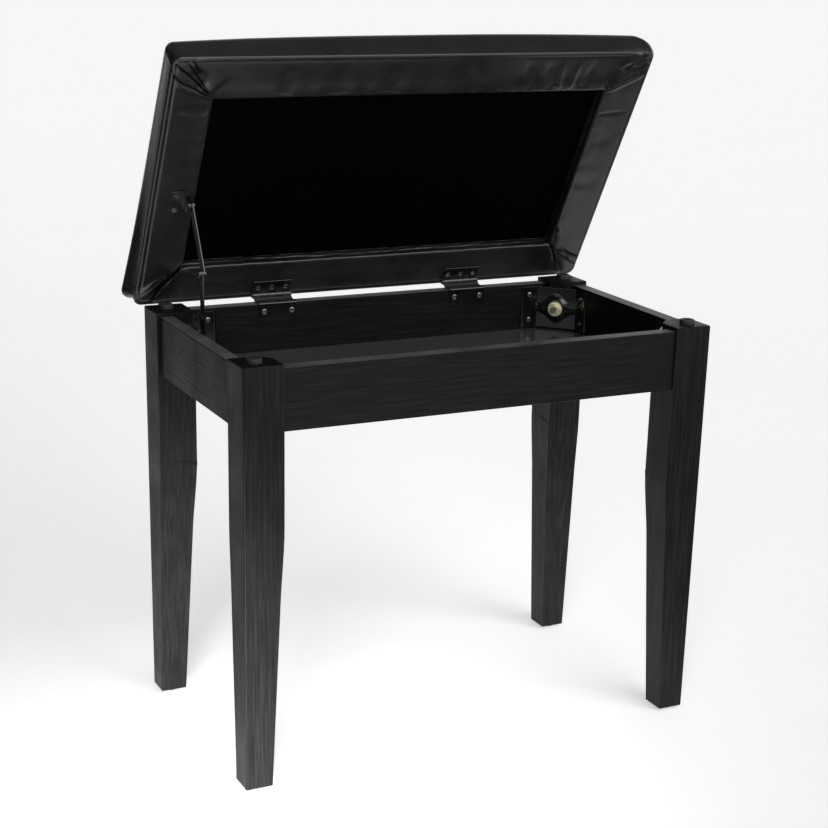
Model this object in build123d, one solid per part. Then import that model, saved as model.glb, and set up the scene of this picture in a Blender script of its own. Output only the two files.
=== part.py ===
"""Storage piano bench: four tapered legs, an open box, and a padded lid on two hinges.

Everything is built about the middle of the four legs, with +X to the right seen from
the front, +Y to the back (the hinge side) and +Z up. The lid is modelled shut and then
swung open to its rest pose. Last, all of it is moved so that the origin is on the floor
under the middle of the bench as it stands open. Millimetres throughout.
"""

import math
import os

from build123d import *

# ---------------------------------------------------------------- driving dimensions

# Legs
LEGS_X = 536.0           # outside to outside, left to right
LEGS_Y = 300.0           # outside to outside, front to back
LEG_W = 43.0             # square section at the top
FOOT_W = 29.5            # square section at the floor
LEG_TOP = 450.0
TAPER_START = 286.0      # the inner faces leave the vertical here
TAPER_BLEND = 204.0      # and run straight to the foot from here
BLEND_W = 38.5           # leg width at the end of the blend
LEG_CHAMFER = 14.0       # inner corner, behind the corner bracket
LEG_ROUND = 1.6
GLIDE_R = 9.5
GLIDE_H = 3.0
BUMPER_R = 8.0
BUMPER_H = 4.7
BUMPER_OUT = 3.0         # the bumper sits this far out from the middle of the leg top

# Box
APRON_T = 16.0
APRON_H = 64.0
APRON_SETBACK = 3.0      # aprons stand back from the legs' outer faces
APRON_TOP = LEG_TOP - 4.0
PANEL_T = 4.0
PANEL_TOP = 392.5
PANEL_IN_GROOVE = 6.0
GROOVE_DEPTH = 6.6
GROOVE_SLACK = 0.1

# Corner brackets
BRACKET_T = 1.8
BRACKET_Z0 = 394.4
BRACKET_Z1 = 442.8
BRACKET_LEG_GAP = 0.85
FLANGE_W = 20.0
KERF_DEPTH = 5.6
LIP_DEPTH = 5.0
BOSS_H = 4.0
RIB_H = 11.0

# Standard fasteners
BOLT_R = 3.9             # 8 mm hanger bolt
BOLT_IN_LEG = 31.0
NUT_AF = 13.0
NUT_H = 6.5
WASHER_R = 8.6
WASHER_T = 1.6
SCREW_R = 1.7
SCREW_HEAD_R = 3.2

# Lid
LID_X = 556.0
LID_Y = 314.0
LID_T = 36.5
LID_UNDER = 455.0        # underside of the shut lid
LID_CORNER = 14.0
BORDER = 48.0            # width of the underside border around the recess
LEATHER = 1.2
RAIL_T = 14.0
BOARD_T = 6.0
DUST_T = 0.7
LID_OPEN = 61.0          # degrees from shut, the pose the bench rests in

# Hinges
HINGE_X = 119.0
HINGE_W = 45.0
LEAF_T = 1.6
PIN_R = 1.5
BARREL_R = 3.15
HINGE_PLAY = 0.05
KNUCKLES = 5
KNUCKLE_GAP = 0.4
AXIS_Y = 151.0
AXIS_Z = LID_UNDER - BARREL_R - 0.15

# Folding stay: pivots as (y, z), the lid's pivot with the lid shut
STAY_W = 10.0
STAY_T = 1.5
STAY_LOWER_X = -237.5
STAY_UPPER_X = -235.4
LOWER_PIVOT = (46.8, 411.0)
ELBOW_OPEN = (50.0, 501.0)
LID_PIVOT_SHUT = (AXIS_Y - 133.0, LID_UNDER - 6.5)
STAY_PIN_R = 2.5

# The origin lies under the middle of the open bench, behind the middle of the legs
SHIFT_Y = -19.0

# ---------------------------------------------------------------- derived positions

HALF_X = LEGS_X / 2
HALF_Y = LEGS_Y / 2
OUT_X = HALF_X - APRON_SETBACK
OUT_Y = HALF_Y - APRON_SETBACK
IN_X = OUT_X - APRON_T
IN_Y = OUT_Y - APRON_T
APRON_BOTTOM = APRON_TOP - APRON_H
LEG_MID_X = HALF_X - LEG_W / 2
LEG_MID_Y = HALF_Y - LEG_W / 2
LEG_INNER_X = HALF_X - LEG_W
LEG_INNER_Y = HALF_Y - LEG_W
CHAMFER_SUM = LEG_INNER_X + LEG_INNER_Y + LEG_CHAMFER
PLATE_SUM = CHAMFER_SUM - BRACKET_LEG_GAP * math.sqrt(2)
BRACKET_MID_Z = (BRACKET_Z0 + BRACKET_Z1) / 2
RECESS_X = LID_X / 2 - BORDER
RECESS_Y = LID_Y / 2 - BORDER
RAIL_TOP = LID_UNDER + LEATHER + RAIL_T
BOARD_TOP = RAIL_TOP + BOARD_T

CORNERS = {
    "front_left": (-1, -1),
    "front_right": (1, -1),
    "back_left": (-1, 1),
    "back_right": (1, 1),
}

frame_parts = {}
lid_parts = {}
lower_arm_parts = {}
upper_arm_parts = {}


# ---------------------------------------------------------------- small helpers

def block(x0, x1, y0, y1, z0, z1):
    """A plain block between two opposite corners."""
    size = Box(x1 - x0, y1 - y0, z1 - z0)
    return Pos((x0 + x1) / 2, (y0 + y1) / 2, (z0 + z1) / 2) * size


def rod(start, direction, radius, length):
    """A round bar from a start point along a direction."""
    plane = Plane(origin=start, z_dir=direction)
    return extrude(plane * Circle(radius), length)


def to_corner(shape, signs):
    """Mirror a piece made for the back right corner into another corner."""
    sx, sy = signs
    if sx < 0:
        shape = mirror(shape, Plane.YZ)
    if sy < 0:
        shape = mirror(shape, Plane.XZ)
    return shape


def strip(points, thickness, bend, width_from, width_to, plane):
    """Bent sheet metal: a filleted centre line thickened, then extruded across."""
    line = FilletPolyline(*points, radius=bend)
    face = trace(line, line_width=thickness)
    solid = extrude(face, width_to - width_from)
    return plane * (Pos(0, 0, width_from) * solid)


def countersunk(tip, outward, length, head_r=SCREW_HEAD_R):
    """A countersunk screw whose head face sits at tip and whose shank points inward."""
    inward = tuple(-c for c in outward)
    plane = Plane(origin=tip, z_dir=inward)
    head = plane * (Pos(0, 0, 0.8) * Cone(head_r, SCREW_R, 1.6))
    shank = rod(tip, inward, SCREW_R, length)
    slot = plane * Box(head_r * 1.3, 0.8, 0.9)
    cross = plane * Box(0.8, head_r * 1.3, 0.9)
    return head + shank - slot - cross


def pan_head(seat, outward, length):
    """A pan-head screw: the head stands on the seat point, the shank runs inward."""
    inward = tuple(-c for c in outward)
    plane = Plane(origin=seat, z_dir=outward)
    head = extrude(plane * Circle(SCREW_HEAD_R), 2.0)
    head = fillet(head.edges().group_by(Axis(seat, outward))[-1], 1.1)
    slot = plane * (Pos(0, 0, 1.9) * Box(3.6, 0.8, 1.2))
    cross = plane * (Pos(0, 0, 1.9) * Box(0.8, 3.6, 1.2))
    return head + rod(seat, inward, SCREW_R, length) - slot - cross


def group(pieces):
    """Several separate pieces kept as one node, as one plain compound of solids."""
    solids = []
    for piece in pieces:
        solids.extend(piece.solids())
    return Compound(solids)


# ---------------------------------------------------------------- legs

def leg_profile(outer, plane):
    """One side view of a leg: straight outside, tapered and blended inside."""
    foot = outer - FOOT_W
    slope = (BLEND_W - FOOT_W) / (TAPER_BLEND - GLIDE_H)
    with BuildSketch(plane) as sketch:
        with BuildLine():
            Polyline((outer - LEG_W, TAPER_START), (outer - LEG_W, LEG_TOP), (outer, LEG_TOP),
                     (outer, GLIDE_H), (foot, GLIDE_H), (outer - BLEND_W, TAPER_BLEND))
            Spline((outer - BLEND_W, TAPER_BLEND), (outer - LEG_W, TAPER_START),
                   tangents=((-slope, 1), (0, 1)))
        make_face()
    return extrude(sketch.sketch, amount=600, both=True)


def make_leg():
    """The back right leg, with its bracket chamfer and its holes."""
    solid = leg_profile(HALF_X, Plane.XZ) & leg_profile(HALF_Y, Plane.YZ)
    outer_edge = solid.edges().filter_by(Axis.Z).sort_by(lambda e: e.center().X + e.center().Y)[-1]
    solid = fillet(outer_edge, LEG_ROUND)
    solid = chamfer(solid.faces().sort_by(Axis.Z)[-1].edges(), 0.8)
    solid = chamfer(solid.faces().sort_by(Axis.Z)[0].edges(), 0.8)
    cutter = Pos(LEG_INNER_X, LEG_INNER_Y, LEG_TOP - 33) * Rot(0, 0, 45)
    cutter = cutter * Box(LEG_CHAMFER * math.sqrt(2), LEG_CHAMFER * math.sqrt(2), 68)
    solid = solid - cutter
    return solid


def glide_solid():
    """A round foot glide with its nail."""
    x = HALF_X - FOOT_W / 2
    y = HALF_Y - FOOT_W / 2
    disc = Pos(x, y, GLIDE_H / 2) * Cylinder(GLIDE_R, GLIDE_H)
    disc = fillet(disc.edges().sort_by(Axis.Z)[0], 1.2)
    nail = Pos(x, y, GLIDE_H + 6) * Cylinder(1.1, 12)
    return disc + nail


def bumper_solid():
    """A push-in rubber bumper on top of a leg, dimpled in the middle."""
    x = LEG_MID_X + BUMPER_OUT
    y = LEG_MID_Y + BUMPER_OUT
    pad = Pos(x, y, LEG_TOP + BUMPER_H / 2) * Cylinder(BUMPER_R, BUMPER_H)
    pad = fillet(pad.edges().sort_by(Axis.Z)[-1], 1.2)
    dimple = Pos(x, y, LEG_TOP + BUMPER_H) * Cylinder(3.2, 2.4)
    stem = Pos(x, y, LEG_TOP - 4) * Cylinder(2.6, 8)
    return pad - dimple + stem


bolt_plane = Plane(
    origin=((PLATE_SUM + LEG_MID_X - LEG_MID_Y) / 2,
            (PLATE_SUM - LEG_MID_X + LEG_MID_Y) / 2, BRACKET_MID_Z),
    x_dir=(1, -1, 0),
    z_dir=(-1, -1, 0),
)
PLATE_FACE = BRACKET_T
BOSS_FACE = PLATE_FACE + BOSS_H


def bolt_solid():
    """The hanger bolt: its wood end is in the leg, its threaded end in the box."""
    wood_end = bolt_plane * (Pos(0, 0, -BOLT_IN_LEG / 2) * Cylinder(BOLT_R, BOLT_IN_LEG))
    thread_end = bolt_plane * (Pos(0, 0, (BOSS_FACE + 10.5) / 2) * Cylinder(BOLT_R, BOSS_FACE + 10.5))
    bolt = wood_end + thread_end
    return bolt


def washer_solid():
    """The washer on the bracket's boss."""
    ring = Cylinder(WASHER_R, WASHER_T) - Cylinder(4.2, WASHER_T)
    return bolt_plane * (Pos(0, 0, BOSS_FACE + WASHER_T / 2) * ring)


def nut_solid():
    """A hexagon nut, chamfered at its outer face."""
    base = BOSS_FACE + WASHER_T
    body = extrude(RegularPolygon(NUT_AF / 2, 6, major_radius=False), NUT_H)
    dome = Pos(0, 0, NUT_H / 2 - 0.9) * Cone(NUT_AF / 2 + 6.6, NUT_AF / 2 - 0.2, NUT_H + 1.8)
    body = body & dome
    body = body - Pos(0, 0, NUT_H / 2) * Cylinder(BOLT_R + 0.05, NUT_H + 2)
    return bolt_plane * (Pos(0, 0, base) * body)


def bracket_screw_seats():
    """Screw seats of one bracket: point on the flange, and outward direction."""
    on_back = PLATE_SUM - IN_Y - 11.0
    on_end = PLATE_SUM - IN_X - 11.0
    seats = []
    for z in (BRACKET_MID_Z - 15.0, BRACKET_MID_Z + 15.0):
        seats.append(((on_back, IN_Y - BRACKET_T, z), (0, -1, 0)))
        seats.append(((IN_X - BRACKET_T, on_end, z), (-1, 0, 0)))
    return seats


def bracket_solid():
    """Pressed corner bracket: diagonal plate, two flanges, two lips, boss and rib."""
    half = BRACKET_T / 2
    back_fold = PLATE_SUM - half * math.sqrt(2) - (IN_Y - half)
    end_fold = PLATE_SUM - half * math.sqrt(2) - (IN_X - half)
    points = [
        (back_fold - FLANGE_W, IN_Y + LIP_DEPTH),
        (back_fold - FLANGE_W, IN_Y - half),
        (back_fold, IN_Y - half),
        (IN_X - half, end_fold),
        (IN_X - half, end_fold - FLANGE_W),
        (IN_X + LIP_DEPTH, end_fold - FLANGE_W),
    ]
    plate = strip(points, BRACKET_T, 1.6, BRACKET_Z0, BRACKET_Z1, Plane.XY)
    boss = Pos(0, 0, PLATE_FACE + BOSS_H / 2 - 0.2) * Cone(14.5, 10.5, BOSS_H + 0.4)
    rib = Pos(0, 0, PLATE_FACE) * Rot(0, 90, 0) * Cylinder(RIB_H / 2, 41)
    rib = rib & (Pos(0, 0, PLATE_FACE + 1.3) * Box(60, 30, 3.0))
    pressed = bolt_plane * (boss + rib)
    body = plate + pressed
    body = body - bolt_plane * Cylinder(BOLT_R + 0.5, 40)
    for seat, outward in bracket_screw_seats():
        body = body - rod(seat, outward, SCREW_R + 0.3, 8)
        inward = tuple(-c for c in outward)
        body = body - rod(seat, inward, SCREW_R + 0.3, 8)
    return body


leg = make_leg()
leg = leg - bolt_plane * (Pos(0, 0, -BOLT_IN_LEG / 2) * Cylinder(BOLT_R, BOLT_IN_LEG))
leg = leg - Pos(LEG_MID_X + BUMPER_OUT, LEG_MID_Y + BUMPER_OUT, LEG_TOP - 4) * Cylinder(2.6, 8)
leg = leg - Pos(HALF_X - FOOT_W / 2, HALF_Y - FOOT_W / 2, GLIDE_H + 6) * Cylinder(1.1, 12)
bracket = bracket_solid()

for corner, signs in CORNERS.items():
    frame_parts["leg_" + corner] = to_corner(leg, signs)
    frame_parts["corner_bracket_" + corner] = to_corner(bracket, signs)

frame_parts["foot_glides"] = group(to_corner(glide_solid(), s) for s in CORNERS.values())
frame_parts["lid_bumpers"] = group(to_corner(bumper_solid(), s) for s in CORNERS.values())
frame_parts["hanger_bolts"] = group(to_corner(bolt_solid(), s) for s in CORNERS.values())
frame_parts["bolt_washers"] = group(to_corner(washer_solid(), s) for s in CORNERS.values())
frame_parts["bolt_nuts"] = group(to_corner(nut_solid(), s) for s in CORNERS.values())

bracket_screws = []
for signs in CORNERS.values():
    for seat, outward in bracket_screw_seats():
        bracket_screws.append(to_corner(pan_head(seat, outward, 12.0), signs))
frame_parts["bracket_screws"] = group(bracket_screws)


# ---------------------------------------------------------------- hinge leaves on the box

def hinge_knuckle_spans():
    """Each knuckle's (from, to) along X, about the hinge's middle."""
    pitch = HINGE_W / KNUCKLES
    spans = []
    for index in range(KNUCKLES):
        start = -HINGE_W / 2 + index * pitch
        spans.append((start + KNUCKLE_GAP / 2, start + pitch - KNUCKLE_GAP / 2))
    return spans


def knuckle_barrels(spans):
    """The rolled barrels of one leaf, still solid."""
    barrels = []
    for start, end in spans:
        barrels.append(rod((start, AXIS_Y, AXIS_Z), (1, 0, 0), BARREL_R, end - start))
    return barrels


LEAF_SPANS = hinge_knuckle_spans()
BOX_KNUCKLES = LEAF_SPANS[0::2]
LID_KNUCKLES = LEAF_SPANS[1::2]
BOX_SCREW_X = (-16.5, 16.5)
BOX_SCREW_Z = APRON_TOP - 8.5
LID_SCREW_X = (-16.5, 0.0, 16.5)
LID_SCREW_Y = AXIS_Y - 9.0
across = Plane(origin=(0, 0, 0), x_dir=(0, 1, 0), z_dir=(1, 0, 0))


def keep_off(spans):
    """Room for the other leaf's knuckles, with a gap all round."""
    rooms = []
    for start, end in spans:
        low = start - KNUCKLE_GAP
        rooms.append(rod((low, AXIS_Y, AXIS_Z), (1, 0, 0), BARREL_R + 0.5, end - start + 2 * KNUCKLE_GAP))
    return rooms


def box_leaf():
    """The leaf that lies over the back apron's top and turns down inside the box."""
    half = LEAF_T / 2
    low = AXIS_Z - BARREL_R + half
    points = [
        (AXIS_Y, low),
        (AXIS_Y - 4.2, low),
        (AXIS_Y - 7.0, APRON_TOP + half),
        (IN_Y - half, APRON_TOP + half),
        (IN_Y - half, APRON_TOP - 19.0),
    ]
    leaf = strip(points, LEAF_T, 0.9, -HINGE_W / 2, HINGE_W / 2, across)
    for room in keep_off(LID_KNUCKLES):
        leaf = leaf - room
    for start, end in LID_KNUCKLES:
        leaf = leaf - block(start - KNUCKLE_GAP, end + KNUCKLE_GAP, AXIS_Y - 3.0, AXIS_Y + 4.0,
                            AXIS_Z - 6, AXIS_Z + 6)
    for barrel in knuckle_barrels(BOX_KNUCKLES):
        leaf = leaf + barrel
    leaf = leaf - rod((-40, AXIS_Y, AXIS_Z), (1, 0, 0), PIN_R + HINGE_PLAY, 80)
    for x in BOX_SCREW_X:
        leaf = leaf - Pos(x, IN_Y - half, BOX_SCREW_Z) * Rot(90, 0, 0) * Cylinder(SCREW_R + 0.05, 6)
        plane = Plane(origin=(x, IN_Y - LEAF_T, BOX_SCREW_Z), z_dir=(0, 1, 0))
        leaf = leaf - plane * (Pos(0, 0, 0.8) * Cone(SCREW_HEAD_R + 0.05, SCREW_R + 0.05, 1.6))
    return leaf


def lid_leaf():
    """The flat leaf screwed to the lid's underside, shown with the lid shut."""
    half = LEAF_T / 2
    leaf = block(-HINGE_W / 2, HINGE_W / 2, AXIS_Y - 18.0, AXIS_Y, LID_UNDER - LEAF_T, LID_UNDER)
    for start, end in BOX_KNUCKLES:
        leaf = leaf - block(start - KNUCKLE_GAP, end + KNUCKLE_GAP, AXIS_Y - 3.9, AXIS_Y + 4.0,
                            LID_UNDER - 4, LID_UNDER + 1)
    for barrel in knuckle_barrels(LID_KNUCKLES):
        leaf = leaf + barrel
    leaf = leaf - rod((-40, AXIS_Y, AXIS_Z), (1, 0, 0), PIN_R + HINGE_PLAY, 80)
    for x in LID_SCREW_X:
        leaf = leaf - Pos(x, LID_SCREW_Y, LID_UNDER - half) * Cylinder(SCREW_R + 0.05, 6)
        plane = Plane(origin=(x, LID_SCREW_Y, LID_UNDER - LEAF_T), z_dir=(0, 0, 1))
        leaf = leaf - plane * (Pos(0, 0, 0.8) * Cone(SCREW_HEAD_R + 0.05, SCREW_R + 0.05, 1.6))
    return leaf


def hinge_pin():
    """The pin with a small head at each end, clear of the outer knuckles."""
    end = HINGE_W / 2
    pin = rod((-end - 0.3, AXIS_Y, AXIS_Z), (1, 0, 0), PIN_R, HINGE_W + 0.6)
    for side in (-1, 1):
        head = rod((side * (end + 0.1), AXIS_Y, AXIS_Z), (side, 0, 0), 2.3, 1.1)
        pin = pin + head
    return pin


box_screws = []
lid_screws = []
for side, name in ((-1, "left"), (1, "right")):
    place = Pos(side * HINGE_X, 0, 0)
    frame_parts["hinge_" + name + "_box_leaf"] = place * box_leaf()
    frame_parts["hinge_" + name + "_pin"] = place * hinge_pin()
    lid_parts["hinge_" + name + "_lid_leaf"] = place * lid_leaf()
    for x in BOX_SCREW_X:
        tip = (x, IN_Y - LEAF_T, BOX_SCREW_Z)
        box_screws.append(place * countersunk(tip, (0, -1, 0), 13.0))
    for x in LID_SCREW_X:
        tip = (x, LID_SCREW_Y, LID_UNDER - LEAF_T)
        lid_screws.append(place * countersunk(tip, (0, 0, -1), 13.0))
frame_parts["hinge_box_screws"] = group(box_screws)
lid_parts["hinge_lid_screws"] = group(lid_screws)


# ---------------------------------------------------------------- folding lid stay

def bar(start, end, x0):
    """A flat bar between two pivots (y, z), with round ends and a hole at the first."""
    length = math.dist(start, end)
    angle = math.degrees(math.atan2(end[1] - start[1], end[0] - start[0]))
    body = SlotCenterToCenter(length, STAY_W)
    solid = extrude(Pos(length / 2, 0) * body, STAY_T)
    solid = solid - Cylinder(STAY_PIN_R + HINGE_PLAY, 10)
    plane = Plane(origin=(x0, start[0], start[1]), x_dir=(0, 1, 0), z_dir=(1, 0, 0))
    return plane * (Rot(0, 0, angle) * solid)


def open_point(point):
    """Where a (y, z) point of the shut lid lies once the lid is open."""
    angle = -math.radians(LID_OPEN)
    dy = point[0] - AXIS_Y
    dz = point[1] - AXIS_Z
    y = AXIS_Y + dy * math.cos(angle) - dz * math.sin(angle)
    z = AXIS_Z + dy * math.sin(angle) + dz * math.cos(angle)
    return (y, z)


LID_PIVOT_OPEN = open_point(LID_PIVOT_SHUT)
APRON_PLATE_T = 1.6
BOX_WALL = -IN_X

lower_arm_parts["stay_lower_arm"] = bar(LOWER_PIVOT, ELBOW_OPEN, STAY_LOWER_X)
upper_arm_parts["stay_upper_arm"] = bar(LID_PIVOT_OPEN, ELBOW_OPEN, STAY_UPPER_X)

elbow_left = (STAY_LOWER_X, ELBOW_OPEN[0], ELBOW_OPEN[1])
knob = rod(elbow_left, (-1, 0, 0), 4.2, 4.0)
knob = fillet(knob.edges().sort_by(Axis.X)[0], 1.5)
lower_arm_parts["stay_elbow_knob"] = knob

elbow_right = (STAY_UPPER_X + STAY_T, ELBOW_OPEN[0], ELBOW_OPEN[1])
rivet = rod(elbow_right, (1, 0, 0), 4.2, 1.6)
rivet = fillet(rivet.edges().sort_by(Axis.X)[-1], 1.0)
upper_arm_parts["stay_elbow_rivet"] = rivet


def stay_pin(pivot, from_x, arm_x, foot_r):
    """A shouldered pin: a spacer, a journal through the arm, and a head."""
    y, z = pivot
    shoulder = arm_x - 0.2
    past = arm_x + STAY_T + 0.2
    spacer = rod((from_x, y, z), (1, 0, 0), foot_r, shoulder - from_x)
    journal = rod((shoulder, y, z), (1, 0, 0), STAY_PIN_R, past - shoulder)
    head = rod((past, y, z), (1, 0, 0), 4.2, 1.4)
    return spacer + journal + head


apron_plate = block(BOX_WALL, BOX_WALL + APRON_PLATE_T, LOWER_PIVOT[0] - 18, LOWER_PIVOT[0] + 18,
                    LOWER_PIVOT[1] - 7, LOWER_PIVOT[1] + 7)
apron_plate = fillet(apron_plate.edges().filter_by(Axis.X), 4.0)
apron_screws = []
for offset in (-12.5, 12.5):
    tip = (BOX_WALL + APRON_PLATE_T, LOWER_PIVOT[0] + offset, LOWER_PIVOT[1])
    screw = countersunk(tip, (1, 0, 0), 12.0)
    apron_screws.append(screw)
    plane = Plane(origin=tip, z_dir=(-1, 0, 0))
    apron_plate = apron_plate - plane * (Pos(0, 0, 0.8) * Cone(SCREW_HEAD_R + 0.05, SCREW_R + 0.05, 1.6))
    apron_plate = apron_plate - rod(tip, (-1, 0, 0), SCREW_R + 0.05, 6)
frame_parts["stay_apron_plate"] = apron_plate
frame_parts["stay_apron_pin"] = stay_pin(LOWER_PIVOT, BOX_WALL + APRON_PLATE_T, STAY_LOWER_X, 3.6)
frame_parts["stay_apron_screws"] = group(apron_screws)

EAR_X = -240.0
PIVOT_Y, PIVOT_Z = LID_PIVOT_SHUT
ear_points = [
    (EAR_X - 17.0, LID_UNDER - APRON_PLATE_T / 2),
    (EAR_X - APRON_PLATE_T / 2, LID_UNDER - APRON_PLATE_T / 2),
    (EAR_X - APRON_PLATE_T / 2, PIVOT_Z - 5.0),
]
along = Plane(origin=(0, 0, 0), x_dir=(1, 0, 0), z_dir=(0, -1, 0))
lid_bracket = strip(ear_points, APRON_PLATE_T, 1.2, -PIVOT_Y - 15.0, -PIVOT_Y + 15.0, along)
for side in (-1, 1):
    trim = block(EAR_X - 2.5, EAR_X + 1, PIVOT_Y + side * 10.5 - 5, PIVOT_Y + side * 10.5 + 5,
                 PIVOT_Z - 8, LID_UNDER - APRON_PLATE_T)
    lid_bracket = lid_bracket - trim
lid_stay_screws = []
for offset in (-9.0, 9.0):
    tip = (EAR_X - 10.5, PIVOT_Y + offset, LID_UNDER - APRON_PLATE_T)
    lid_stay_screws.append(countersunk(tip, (0, 0, -1), 13.0))
    plane = Plane(origin=tip, z_dir=(0, 0, 1))
    lid_bracket = lid_bracket - plane * (Pos(0, 0, 0.8) * Cone(SCREW_HEAD_R + 0.05, SCREW_R + 0.05, 1.6))
    lid_bracket = lid_bracket - rod(tip, (0, 0, 1), SCREW_R + 0.05, 6)
lid_parts["stay_lid_bracket"] = lid_bracket
lid_parts["stay_lid_pin"] = stay_pin(LID_PIVOT_SHUT, EAR_X, STAY_UPPER_X, 3.4)
lid_parts["stay_lid_screws"] = group(lid_stay_screws)


# ---------------------------------------------------------------- aprons and bottom panel

def drilled(board, screws_at):
    """Take pilot holes out of a board: each is (start, direction, length)."""
    for start, direction, length in screws_at:
        board = board - rod(start, direction, SCREW_R, length)
    return board


def long_apron(side):
    """The front (-1) or back (+1) apron, between the legs' side faces."""
    outer = side * OUT_Y
    inner = side * IN_Y
    low, high = min(outer, inner), max(outer, inner)
    board = block(-LEG_INNER_X, LEG_INNER_X, low, high, APRON_BOTTOM, APRON_TOP)
    board = fillet(board.edges().filter_by(Axis.X), 1.0)
    groove_top = PANEL_TOP + GROOVE_SLACK
    groove_low = PANEL_TOP - PANEL_T - GROOVE_SLACK
    deep = side * (IN_Y + GROOVE_DEPTH)
    board = board - block(-HALF_X, HALF_X, min(inner, deep), max(inner, deep), groove_low, groove_top)
    lip_x = PLATE_SUM - BRACKET_T / 2 * math.sqrt(2) - (IN_Y - BRACKET_T / 2) - FLANGE_W
    kerf = side * (IN_Y + KERF_DEPTH)
    holes = []
    for sx in (-1, 1):
        slot = block(lip_x - 1.1, lip_x + 1.9, min(inner, kerf), max(inner, kerf),
                     BRACKET_Z0 - 0.5, BRACKET_Z1 + 0.5)
        board = board - (slot if sx > 0 else mirror(slot, Plane.YZ))
        for seat, outward in bracket_screw_seats():
            if outward[1]:
                holes.append(((sx * seat[0], side * IN_Y, seat[2]), (0, side, 0), 12.0 - BRACKET_T))
    return drilled(board, holes)


def end_apron(side):
    """The left (-1) or right (+1) apron, between the legs' inner faces."""
    outer = side * OUT_X
    inner = side * IN_X
    low, high = min(outer, inner), max(outer, inner)
    board = block(low, high, -LEG_INNER_Y, LEG_INNER_Y, APRON_BOTTOM, APRON_TOP)
    board = fillet(board.edges().filter_by(Axis.Y), 1.0)
    groove_top = PANEL_TOP + GROOVE_SLACK
    groove_low = PANEL_TOP - PANEL_T - GROOVE_SLACK
    deep = side * (IN_X + GROOVE_DEPTH)
    board = board - block(min(inner, deep), max(inner, deep), -HALF_Y, HALF_Y, groove_low, groove_top)
    lip_y = PLATE_SUM - BRACKET_T / 2 * math.sqrt(2) - (IN_X - BRACKET_T / 2) - FLANGE_W
    kerf = side * (IN_X + KERF_DEPTH)
    holes = []
    for sy in (-1, 1):
        slot = block(min(inner, kerf), max(inner, kerf), lip_y - 1.1, lip_y + 1.9,
                     BRACKET_Z0 - 0.5, BRACKET_Z1 + 0.5)
        board = board - (slot if sy > 0 else mirror(slot, Plane.XZ))
        for seat, outward in bracket_screw_seats():
            if outward[0]:
                holes.append(((side * IN_X, sy * seat[1], seat[2]), (side, 0, 0), 12.0 - BRACKET_T))
    return drilled(board, holes)


apron_back = long_apron(1)
hinge_holes = []
for hinge_side in (-1, 1):
    for x in BOX_SCREW_X:
        start = (hinge_side * HINGE_X + x, IN_Y, BOX_SCREW_Z)
        hinge_holes.append((start, (0, 1, 0), 13.0 - LEAF_T))
apron_back = drilled(apron_back, hinge_holes)

apron_left = end_apron(-1)
stay_holes = []
for offset in (-12.5, 12.5):
    start = (BOX_WALL, LOWER_PIVOT[0] + offset, LOWER_PIVOT[1])
    stay_holes.append((start, (-1, 0, 0), 12.0 - APRON_PLATE_T))
apron_left = drilled(apron_left, stay_holes)

frame_parts["apron_front"] = long_apron(-1)
frame_parts["apron_back"] = apron_back
frame_parts["apron_left"] = apron_left
frame_parts["apron_right"] = end_apron(1)


def bottom_panel():
    """Thin floor panel held in the aprons' grooves, cut away around the legs."""
    x1 = IN_X + PANEL_IN_GROOVE
    y1 = IN_Y + PANEL_IN_GROOVE
    gap = 0.8
    notch_x = LEG_INNER_X - gap
    notch_y = LEG_INNER_Y - gap
    cut = CHAMFER_SUM - gap * 1.5
    quarter = [(notch_x, y1), (notch_x, cut - notch_x), (cut - notch_y, notch_y), (x1, notch_y)]
    outline = []
    outline += quarter
    outline += [(x, -y) for x, y in reversed(quarter)]
    outline += [(-x, -y) for x, y in quarter]
    outline += [(-x, y) for x, y in reversed(quarter)]
    face = Polygon(*outline, align=None)
    return Pos(0, 0, PANEL_TOP - PANEL_T) * extrude(face, PANEL_T, dir=(0, 0, 1))


frame_parts["bottom_panel"] = bottom_panel()


# ---------------------------------------------------------------- lid

def cushion_form(inset):
    """The lid's rounded outer form, shrunk evenly by an inset."""
    width = LID_X - 2 * inset
    depth = LID_Y - 2 * inset
    height = LID_T - 2 * inset
    plan = RectangleRounded(width, depth, LID_CORNER - inset)
    solid = Pos(0, 0, LID_UNDER + inset) * extrude(plan, height)
    solid = fillet(solid.faces().sort_by(Axis.Z)[-1].edges(), 12.0 - inset)
    return fillet(solid.faces().sort_by(Axis.Z)[0].edges(), 3.0 - inset)


def lid_screw_holes():
    """Every screw in the lid's underside, as (start, direction, length)."""
    holes = []
    for hinge_side in (-1, 1):
        for x in LID_SCREW_X:
            start = (hinge_side * HINGE_X + x, LID_SCREW_Y, LID_UNDER - LEAF_T)
            holes.append((start, (0, 0, 1), 13.0))
    for offset in (-9.0, 9.0):
        start = (EAR_X - 10.5, PIVOT_Y + offset, LID_UNDER - APRON_PLATE_T)
        holes.append((start, (0, 0, 1), 13.0))
    return holes


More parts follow.
